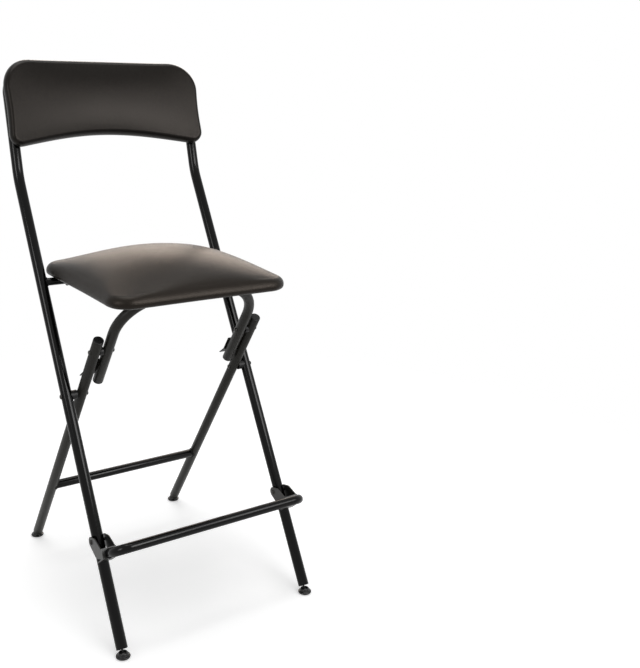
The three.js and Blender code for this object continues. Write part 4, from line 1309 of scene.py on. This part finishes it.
def finished_copy(node, material, body, slot):
    """A merged copy of a solid with a fine bevel on its edges, standing for the node."""
    name = f"{node}_pressed"
    mesh = frame["nodes"][node].data.copy()
    mesh.name = name
    solid = bmesh.new()
    solid.from_mesh(mesh)
    bmesh.ops.remove_doubles(solid, verts=solid.verts, dist=TINY)
    bmesh.ops.dissolve_limit(solid, angle_limit=FLAT_ANGLE, verts=solid.verts, edges=solid.edges)
    solid.to_mesh(mesh)
    solid.free()
    mesh.materials.clear()
    piece = shown(name, mesh, material)
    bevel = piece.modifiers.new("Eased edges", "BEVEL")
    bevel.width = fitting_sizes().edge
    bevel.segments = BEVEL_STEPS
    bevel.limit_method = "ANGLE"
    bevel.angle_limit = SHARP_ANGLE
    bevel.harden_normals = True
    return hang(piece, body, slot, node)


# Upholstery


def pad_outline(half_width, low, high, low_corner, high_corner, rises):
    """Evenly spaced points and outward normals of a rounded outline, as arrays in two directions.

    Quarter circles of the corners' radii are joined by edges that bow by rise * sin(pi * share).
    The rises draw in the right, upper, left and lower edges.
    """
    corners = ((half_width, low, low_corner, -math.pi / 2), (half_width, high, high_corner, 0.0),
               (-half_width, high, high_corner, math.pi / 2), (-half_width, low, low_corner, math.pi))
    arcs = []
    for x, y, radius, start in corners:
        t = start + np.linspace(0, math.pi / 2, OUTLINE_ARC_POINTS)
        centre = [x - math.copysign(radius, x), y + radius if y == low else y - radius]
        arcs.append(np.stack([np.cos(t), np.sin(t)], -1) * radius + centre)
    dense = []
    for k, rise in enumerate(rises):
        dense.append(arcs[k])
        start, end = arcs[k][-1], arcs[(k + 1) % len(arcs)][0]
        share = np.linspace(0, 1, OUTLINE_EDGE_POINTS)[1:-1, None]
        inward = unit(np.array([start[1] - end[1], end[0] - start[0]]))
        dense.append(start + (end - start) * share + inward * rise * np.sin(math.pi * share))
    dense = np.concatenate(dense + [dense[0][:1]])
    length = np.concatenate([[0], np.cumsum(np.linalg.norm(np.diff(dense, axis=0), axis=1))])
    places = np.linspace(0, length[-1], PAD_COLUMNS, endpoint=False)
    outline = np.stack([np.interp(places, length, dense[:, k]) for k in range(2)], -1)
    tangent = unit(np.roll(outline, -1, 0) - np.roll(outline, 1, 0))
    return outline, np.stack([tangent[:, 1], -tangent[:, 0]], -1)


def pad_rings(outline, normals, middle, rows, oval_shares):
    """Rings of a pad in its own plane: middle + s * ((1 - s^p) * oval + s^p * (outline - inset)).

    Each row is (inset, share s, height), and p is the oval power. Near the middle the rings turn into
    ovals, whose half axes are shares of the outline's, so that the crown has no corners there. Returns
    the places in the plane and the heights.
    """
    rows = np.asarray(rows, float)
    inset, share = rows[:, 0, None, None], rows[:, 1, None, None]
    edge = outline[None] - inset * normals[None] - middle
    axes = np.abs(outline - middle).max(0) * oval_shares
    around = unit(edge / axes) * axes
    stay = share ** OVAL_POWER
    plane = middle + share * ((1 - stay) * around + stay * edge)
    return plane, np.broadcast_to(rows[:, 2, None], plane.shape[:2])


def pillow(plane, rim, power):
    """Share of a crown's height over a rim: (1 - |u|^p) * (1 - |v|^p), which is 0 all along the rim.

    u runs from -1 to 1 across the rim, and v from its lower to its upper edge at that place.
    """
    order = np.argsort(rim[:, 0])
    upper = rim[order, 1] > (rim[:, 1].min() + rim[:, 1].max()) / 2
    low, high = (np.interp(plane[..., 0], *rim[order[side]].T) for side in (~upper, upper))
    u = np.abs(plane[..., 0]) / np.abs(rim[:, 0]).max()
    v = np.abs(2 * plane[..., 1] - low - high) / np.maximum(high - low, TINY)
    return np.clip(1 - u ** power, 0, 1) * np.clip(1 - v ** power, 0, 1)


def crown_shares(plane, middle, rows, start, power, hip):
    """Shares of the crown's height on the rows from a height on, whose first is the crown's rim.

    They are (1 - hip) * pillow + hip * (1 - w^p). With s the share of the way from the middle to the
    rim and r the distance in mean rims, w = s^2 * s + (1 - s^2) * r, which is round near the middle.
    The pillow is the square part of the crown, and the hip is the part that falls evenly all round.
    """
    first = np.nonzero(rows[:, 2] >= start)[0]
    first = first[first > np.argmin(rows[:, 2])][0]
    reach = np.linalg.norm(plane - middle, axis=-1)
    share = np.minimum(reach / reach[first], 1)
    round_share = reach / reach[first].mean()
    near_rim = share ** 2
    w = np.clip(near_rim * share + (1 - near_rim) * round_share, 0, 1)
    shares = (1 - hip) * pillow(plane, plane[first], power) + hip * (1 - w ** power)
    shares[:first] = 0
    return shares


def pocket_rows(skirt, floor, rim, lip, lip_run, shares):
    """Profile rows (inset, share, height): over the board, down the pocket's wall and round its lip."""
    ease = lip * LIP_EASE_SHARE
    over = [[skirt, share, floor] for share in shares]
    return [*over, [skirt, 1.0, floor], [skirt, 1.0, floor - lip], [skirt, 1.0, rim + lip * lip_run],
            [skirt - ease, 1.0, rim + ease], [skirt - lip, 1.0, rim]]


def foot_rows(inset, low, rise):
    """Profile rows of a lower edge: inset * (1 - sin t), at low + rise * (1 - cos t)."""
    t = np.linspace(0, math.pi / 2, PAD_FOOT_ROWS)
    return np.stack([inset * (1 - np.sin(t)), np.ones(len(t)), low + rise * (1 - np.cos(t))], -1)


def top_rows(inset, low, rise, count):
    """Profile rows of an upper edge, inset * (1 - cos t) at low + rise * sin t, and level rows inwards.

    The level rows lie at shares cos t of the outline, close together near the edge.
    """
    t = np.linspace(0, math.pi / 2, PAD_ROLL_ROWS)
    edge = np.stack([inset * (1 - np.cos(t)), np.ones(len(t)), low + rise * np.sin(t)], -1)
    shares = np.sin(np.linspace(math.pi / 2, 0, count, endpoint=False))[1:]
    level = np.tile(edge[-1], (len(shares), 1))
    level[:, 1] = shares
    return np.concatenate([edge, level])


def subdivided(piece):
    """One level of subdivision, the same in the view and in the render."""
    smooth = piece.modifiers.new("Smooth", "SUBSURF")
    smooth.levels = 1
    smooth.render_levels = 1
    return piece


def plumped(piece, still, pressure, frames, most):
    """Blows a skin up as cloth under inner air pressure, with no point moved further than given.

    The weight of a point's pin is 1 where it must stay still. The result is put into the mesh.
    """
    scene = bpy.context.scene
    start = np.zeros(len(piece.data.vertices) * 3)
    piece.data.vertices.foreach_get("co", start)
    pins = piece.vertex_groups.new(name="still")
    for weight in np.unique(still):
        pins.add(np.nonzero(still == weight)[0].tolist(), float(weight), "REPLACE")
    cloth = piece.modifiers.new("Cloth", "CLOTH")
    settings = cloth.settings
    settings.vertex_group_mass = "still"
    settings.use_pressure = True
    settings.uniform_pressure_force = pressure
    settings.tension_stiffness = CLOTH_STIFFNESS
    settings.compression_stiffness = CLOTH_STIFFNESS
    settings.bending_stiffness = CLOTH_BENDING
    settings.effector_weights.gravity = 0
    settings.quality = CLOTH_QUALITY
    cloth.point_cache.frame_start = 1
    cloth.point_cache.frame_end = frames
    for step in range(1, frames + 1):
        scene.frame_set(step)
    shape = piece.evaluated_get(bpy.context.evaluated_depsgraph_get()).to_mesh()
    moved = np.zeros(len(start))
    shape.vertices.foreach_get("co", moved)
    piece.to_mesh_clear()
    piece.modifiers.remove(cloth)
    shift = (moved - start).reshape(-1, 3)
    length = np.linalg.norm(shift, axis=1, keepdims=True)
    capped = shift * np.minimum(1, most / np.maximum(length, TINY))
    piece.data.vertices.foreach_set("co", start + capped.ravel())
    piece.data.update()
    piece.vertex_groups.remove(pins)
    scene.frame_set(1)
    return piece


def seat_outline(grow):
    """The seat's outline and normals, grown outwards over the solid's."""
    pads = pad_sizes()
    low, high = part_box("seat_cushion")
    return pad_outline(high.x + grow, low.y - grow, high.y + grow, pads.seat_corner, pads.seat_corner,
                       [pads.side_draw] * 4)


class STOOL_OT_seat_cushion(bpy.types.Operator):
    """Seat cushion, blown up as cloth, its rim wrapped under"""

    bl_idname = "stool.seat_cushion"
    bl_label = "Seat cushion"

    def execute(self, context):
        pads = pad_sizes()
        low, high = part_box("seat_cushion")
        rim = low.z
        wall = rim + pads.seat_wall
        top = high.z + pads.seat_lift
        grow = pads.seat_bulge
        middle = np.array([0.0, (low.y + high.y) / 2])
        outline, normals = seat_outline(grow)
        rows = self.rows(rim)
        plane, height = pad_rings(outline, normals, middle, rows, SEAT_OVAL_SHARES)
        shares = crown_shares(plane, middle, rows, wall, pads.seat_power, pads.seat_hip)
        height = height + (top - rows[-1, 2]) * shares
        plane = plane + self.puckers(outline, rows[:, 2], rim)[..., None] * normals[None]
        rings = np.concatenate([plane, height[..., None]], -1)
        piece = add_mesh("seat_pad", [shell(rings)], seat_vinyl(), NEVER_SHARP_ANGLE)
        points = np.array([vertex.co for vertex in piece.data.vertices])
        still = np.where(points[:, 2] < wall, 1.0, 0.0)
        inner = np.abs(points[:, :2] - middle).max(1) < high.x - pads.seat_skirt
        still[inner & (points[:, 2] < rim + pads.board_top + TINY)] = 1.0
        plumped(piece, still, pads.pressure, pads.frames, pads.swell)
        subdivided(piece)
        hang(piece, "seat", "seat_vinyl", "seat_cushion")
        return {"FINISHED"}

    def rows(self, rim):
        """Profile rows from over the board, down the pocket, up the side, and inwards over the top."""
        pads = pad_sizes()
        skirt = pads.seat_skirt + pads.seat_bulge
        pocket = pocket_rows(skirt, rim + pads.board_top, rim, pads.seat_lip, SEAT_LIP_RUN,
                             SEAT_FLOOR_SHARES)
        foot = foot_rows(pads.seat_foot, rim, pads.seat_foot)
        top = top_rows(pads.seat_roll, rim + pads.seat_wall, pads.seat_roll, SEAT_CROWN_ROWS)
        return np.concatenate([pocket, foot, top])

    def puckers(self, outline, heights, rim):
        """Folds of the vinyl round the corners: depth * sin(count * angle) * corner * low, outwards.

        Corner is |sin 2a|^power of the angle a round the middle; low falls from 1 at the rim to 0 at the
        roll's top.
        """
        pads = pad_sizes()
        a = np.arctan2(outline[:, 1] - outline[:, 1].mean(), outline[:, 0])
        corner = np.abs(np.sin(2 * a)) ** PUCKER_POWER
        low = np.clip(1 - (heights - rim) / (pads.seat_wall + pads.seat_roll), 0, 1)
        low = np.where(heights > rim + pads.board_top - pads.seat_roll, 0, low)
        return pads.pucker * low[:, None] * (np.sin(FOLDS * a) * corner)[None]


class STOOL_OT_back_cushion(bpy.types.Operator):
    """Back cushion, bowed between the uprights"""

    bl_idname = "stool.back_cushion"
    bl_label = "Back cushion"

    def execute(self, context):
        pads = pad_sizes()
        _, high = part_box("back_cushion")
        bottom, top = up_to(pads.back_low), up_to(pads.back_high)
        middle = np.array([0.0, (bottom + top + pads.back_arch) / 2])
        outline, normals = pad_outline(high.x, bottom, top, pads.back_low_corner, pads.back_high_corner,
                                       [pads.side_draw, -pads.back_crest, pads.side_draw, pads.back_arch])
        rows = self.rows()
        plane, forward = pad_rings(outline, normals, middle, rows, BACK_OVAL_SHARES)
        shares = crown_shares(plane, middle, rows, self.waist(), pads.back_power, 0)
        forward = forward + pads.back_crown * shares
        rings = on_back(plane[..., 0], plane[..., 1], forward)
        piece = add_mesh("back_pad", [shell(rings)], back_vinyl(), NEVER_SHARP_ANGLE)
        subdivided(piece)
        hang(piece, "main_frame", "back_vinyl", "back_cushion")
        return {"FINISHED"}

    def waist(self):
        """How far forward the edge is widest."""
        pads = pad_sizes()
        return pads.back_face + pads.back_thickness * BACK_WAIST_SHARE

    def rows(self):
        """Profile rows from over the board, down the pocket, round the edge, and over the front."""
        pads = pad_sizes()
        rear = pads.back_face
        waist = self.waist()
        pocket = pocket_rows(pads.back_skirt, rear + pads.back_board, rear, pads.back_lip, BACK_LIP_RUN,
                             BACK_FLOOR_SHARES)
        behind = foot_rows(pads.back_foot, rear, waist - rear)[:-1]
        rise = pads.back_thickness * (1 - BACK_WAIST_SHARE)
        return np.concatenate([pocket, behind, top_rows(pads.back_roll, waist, rise, BACK_CROWN_ROWS)])


class STOOL_OT_boards(bpy.types.Operator):
    """Boards of the seat and the back"""

    bl_idname = "stool.boards"
    bl_label = "Boards"

    def execute(self, context):
        stain = board_stain()
        for node in ("seat_board", "back_board"):
            board = frame["nodes"][node]
            board.data.materials.clear()
            board.data.materials.append(stain)
        return {"FINISHED"}


class STOOL_OT_hem(bpy.types.Operator):
    """Hem of the vinyl turned in under the seat's board, and its staples"""

    bl_idname = "stool.hem"
    bl_label = "Hem and staples"

    def execute(self, context):
        pads = pad_sizes()
        outline, normals = seat_outline(0.0)
        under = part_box("seat_board")[0].z
        build("seat_hem", [self.strip(outline, normals, under)], seat_vinyl(), "seat", "seat_vinyl")
        length = np.linalg.norm(np.roll(outline, -1, 0) - outline, axis=1).sum()
        count = round(length / pads.staple_step)
        place = outline - normals * (pads.seat_skirt + pads.hem / 2)
        skins = []
        for k in np.linspace(0, PAD_COLUMNS, count, endpoint=False).astype(int):
            along_edge = np.array([-normals[k][1], normals[k][0], 0.0]) * pads.staple / 2
            centre = np.array([*place[k], under - pads.hem_thickness])
            ends = [centre - along_edge, centre + along_edge]
            skins.append(straight(ends, pads.staple_wire, UPRIGHT, sides=STAPLE_SIDES))
        build("seat_staples", skins, rivet_steel(), "seat", "dark_rivet")
        return {"FINISHED"}

    def strip(self, outline, normals, under):
        """A thin ring under the board, wavy on its inner edge: inset + wave * sin(count * angle)."""
        pads = pad_sizes()
        fit = fitting_sizes().fit
        thick = pads.hem_thickness
        outer, inner = pads.seat_skirt - fit, pads.seat_skirt + pads.hem
        top, bottom = under - fit, under - thick
        rows = [(outer, top, 0), (inner - thick / 2, top, 1), (inner, (top + bottom) / 2, 1),
                (inner - thick / 2, bottom, 1), (outer, bottom, 0)]
        a = np.arctan2(outline[:, 1] - outline[:, 1].mean(), outline[:, 0])
        wave = pads.pucker * np.sin(HEM_WAVES * a)
        rings = []
        for inset, height, wavy in rows:
            plane = outline - normals * (inset + wavy * wave)[:, None]
            rings.append(np.column_stack([plane, np.full(len(plane), height)]))
        return torus(np.array(rings))


# Stage


class STOOL_OT_stage(bpy.types.Operator):
    """Floor, world, lamps and camera"""

    bl_idname = "stool.stage"
    bl_label = "Stage"

    def execute(self, context):
        self.floor()
        self.world()
        self.lamps()
        self.camera()
        context.scene.view_settings.view_transform = "Standard"
        return {"FINISHED"}

    def seen(self, tree):
        """1 for camera, glossy and transmission rays, and 0 for the rest."""
        rays = tree.nodes.new("ShaderNodeLightPath")
        sharp = math_node(tree, "MAXIMUM", rays.outputs["Is Glossy Ray"], rays.outputs["Is Transmission Ray"])
        return math_node(tree, "MAXIMUM", rays.outputs["Is Camera Ray"], sharp)

    def floor(self):
        """A pale plane just under the glides, which keeps the stool's shadow."""
        stage = stage_sizes()
        half = stage.floor_size / 2
        height = -stage.floor_drop
        mesh = bpy.data.meshes.new("studio_floor")
        mesh.from_pydata([(-half, -half, height), (half, -half, height), (half, half, height),
                          (-half, half, height)], [], [(0, 1, 2, 3)])
        material = bpy.data.materials.new("studio_floor")
        material.use_nodes = True
        tree = material.node_tree
        principled = tree.nodes["Principled BSDF"]
        principled.inputs["Base Color"].default_value = opaque(colours().floor)
        principled.inputs["Roughness"].default_value = 1.0
        principled.inputs["Specular IOR Level"].default_value = 0.0
        principled.inputs["Emission Color"].default_value = opaque(WHITE)
        glow = math_node(tree, "MULTIPLY", self.seen(tree), stage.floor_glow)
        link(tree, glow, principled.inputs["Emission Strength"])
        place = tree.nodes.new("ShaderNodeTexCoord")
        reach = tree.nodes.new("ShaderNodeVectorMath")
        reach.operation = "LENGTH"
        link(tree, place.outputs["Object"], reach.inputs[0])
        fade = range_node(tree, reach.outputs["Value"], stage.floor_fade, half, 1.0, 0.0)
        link(tree, fade, principled.inputs["Alpha"])
        mesh.materials.append(material)
        floor = placed("studio_floor", mesh)

    def world(self):
        """White where it is seen, and a dimmer even light elsewhere."""
        stage = stage_sizes()
        world = bpy.data.worlds.new("studio")
        world.use_nodes = True
        tree = world.node_tree
        background = tree.nodes["Background"]
        background.inputs["Color"].default_value = opaque(WHITE)
        extra = math_node(tree, "MULTIPLY", self.seen(tree), 1 - stage.ambient)
        strength = math_node(tree, "ADD", extra, stage.ambient)
        link(tree, strength, background.inputs["Strength"])
        bpy.context.scene.world = world

    def lamps(self):
        """Soft lamps that light the stool, and strips and a warm panel that show in its gloss.

        The panel stands behind the stool, like the warm light on the seat in the photograph.
        """
        target = Vector(LAMP_TARGET)
        for name, (place, (width, height), power) in (SOFT_LAMPS | STRIP_LAMPS).items():
            light = bpy.data.lights.new(name, "AREA")
            light.shape = "RECTANGLE"
            light.size = width
            light.size_y = height
            light.energy = power
            if name == "rear_panel":
                light.color = stage_sizes().warm
            lamp = placed(name, light)
            lamp.location = place
            lamp.rotation_euler = (target - Vector(place)).to_track_quat("-Z", "Y").to_euler()
            lamp.visible_diffuse = name in SOFT_LAMPS
            lamp.visible_glossy = name != "front_softbox"
            lamp.visible_camera = False

    def camera(self):
        """The photograph's view: turned by the yaw, tipped by the pitch, and rolled."""
        stage = stage_sizes()
        yaw, pitch, roll = stage.yaw, stage.pitch, stage.roll
        ahead = np.array([math.sin(yaw) * math.cos(pitch), math.cos(yaw) * math.cos(pitch), -math.sin(pitch)])
        level = np.array([math.cos(yaw), -math.sin(yaw), 0.0])
        above = np.cross(level, ahead)
        right = math.cos(roll) * level + math.sin(roll) * above
        up = math.cos(roll) * above - math.sin(roll) * level
        data = bpy.data.cameras.new("camera")
        data.sensor_fit = "AUTO"
        data.sensor_width = FILM_WIDTH
        data.lens = stage.lens
        data.shift_y = stage.shift
        camera = placed("camera", data)
        turn = Matrix([right, up, -ahead]).transposed().to_4x4()
        camera.matrix_world = Matrix.Translation(Vector(stage.camera_place)) @ turn
        bpy.context.scene.camera = camera


# Panel and registration

OPERATORS = (
    STOOL_OT_stage,
    STOOL_OT_main_frame,
    STOOL_OT_rear_frame,
    STOOL_OT_seat_bow,
    STOOL_OT_footrest,
    STOOL_OT_fasteners,
    STOOL_OT_plastics,
    STOOL_OT_glides,
    STOOL_OT_pressed_steel,
    STOOL_OT_seat_cushion,
    STOOL_OT_back_cushion,
    STOOL_OT_boards,
    STOOL_OT_hem,
)


class STOOL_PT_panel(bpy.types.Panel):
    """Lists the stool's pieces"""

    bl_idname = "STOOL_PT_panel"
    bl_label = "Folding bar stool"
    bl_space_type = "VIEW_3D"
    bl_region_type = "UI"
    bl_category = "Stool"

    def draw(self, context):
        for operator in OPERATORS:
            self.layout.operator(operator.bl_idname)


GROUPS = (
    ("stool_frame", StoolFrameSizes),
    ("stool_fittings", StoolFittingSizes),
    ("stool_pads", StoolPadSizes),
    ("stool_colours", StoolColours),
    ("stool_stage", StoolStageSizes),
)


def register():
    """Registers the property groups, the operators and the panel."""
    for name, group in GROUPS:
        bpy.utils.register_class(group)
        setattr(bpy.types.Scene, name, PointerProperty(type=group))
    for operator in OPERATORS:
        bpy.utils.register_class(operator)
    bpy.utils.register_class(STOOL_PT_panel)


def unregister():
    """Takes them away again."""
    bpy.utils.unregister_class(STOOL_PT_panel)
    for operator in reversed(OPERATORS):
        bpy.utils.unregister_class(operator)
    for name, group in reversed(GROUPS):
        delattr(bpy.types.Scene, name)
        bpy.utils.unregister_class(group)


def main():
    """Builds the stool and its stage."""
    register()
    bpy.ops.stool.stage()
    bpy.ops.stool.main_frame()
    bpy.ops.stool.rear_frame()
    bpy.ops.stool.seat_bow()
    bpy.ops.stool.footrest()
    bpy.ops.stool.fasteners()
    bpy.ops.stool.plastics()
    bpy.ops.stool.glides()
    bpy.ops.stool.pressed_steel()
    bpy.ops.stool.seat_cushion()
    bpy.ops.stool.back_cushion()
    bpy.ops.stool.boards()
    bpy.ops.stool.hem()
    bpy.context.view_layer.update()


if __name__ == "__main__":
    main()
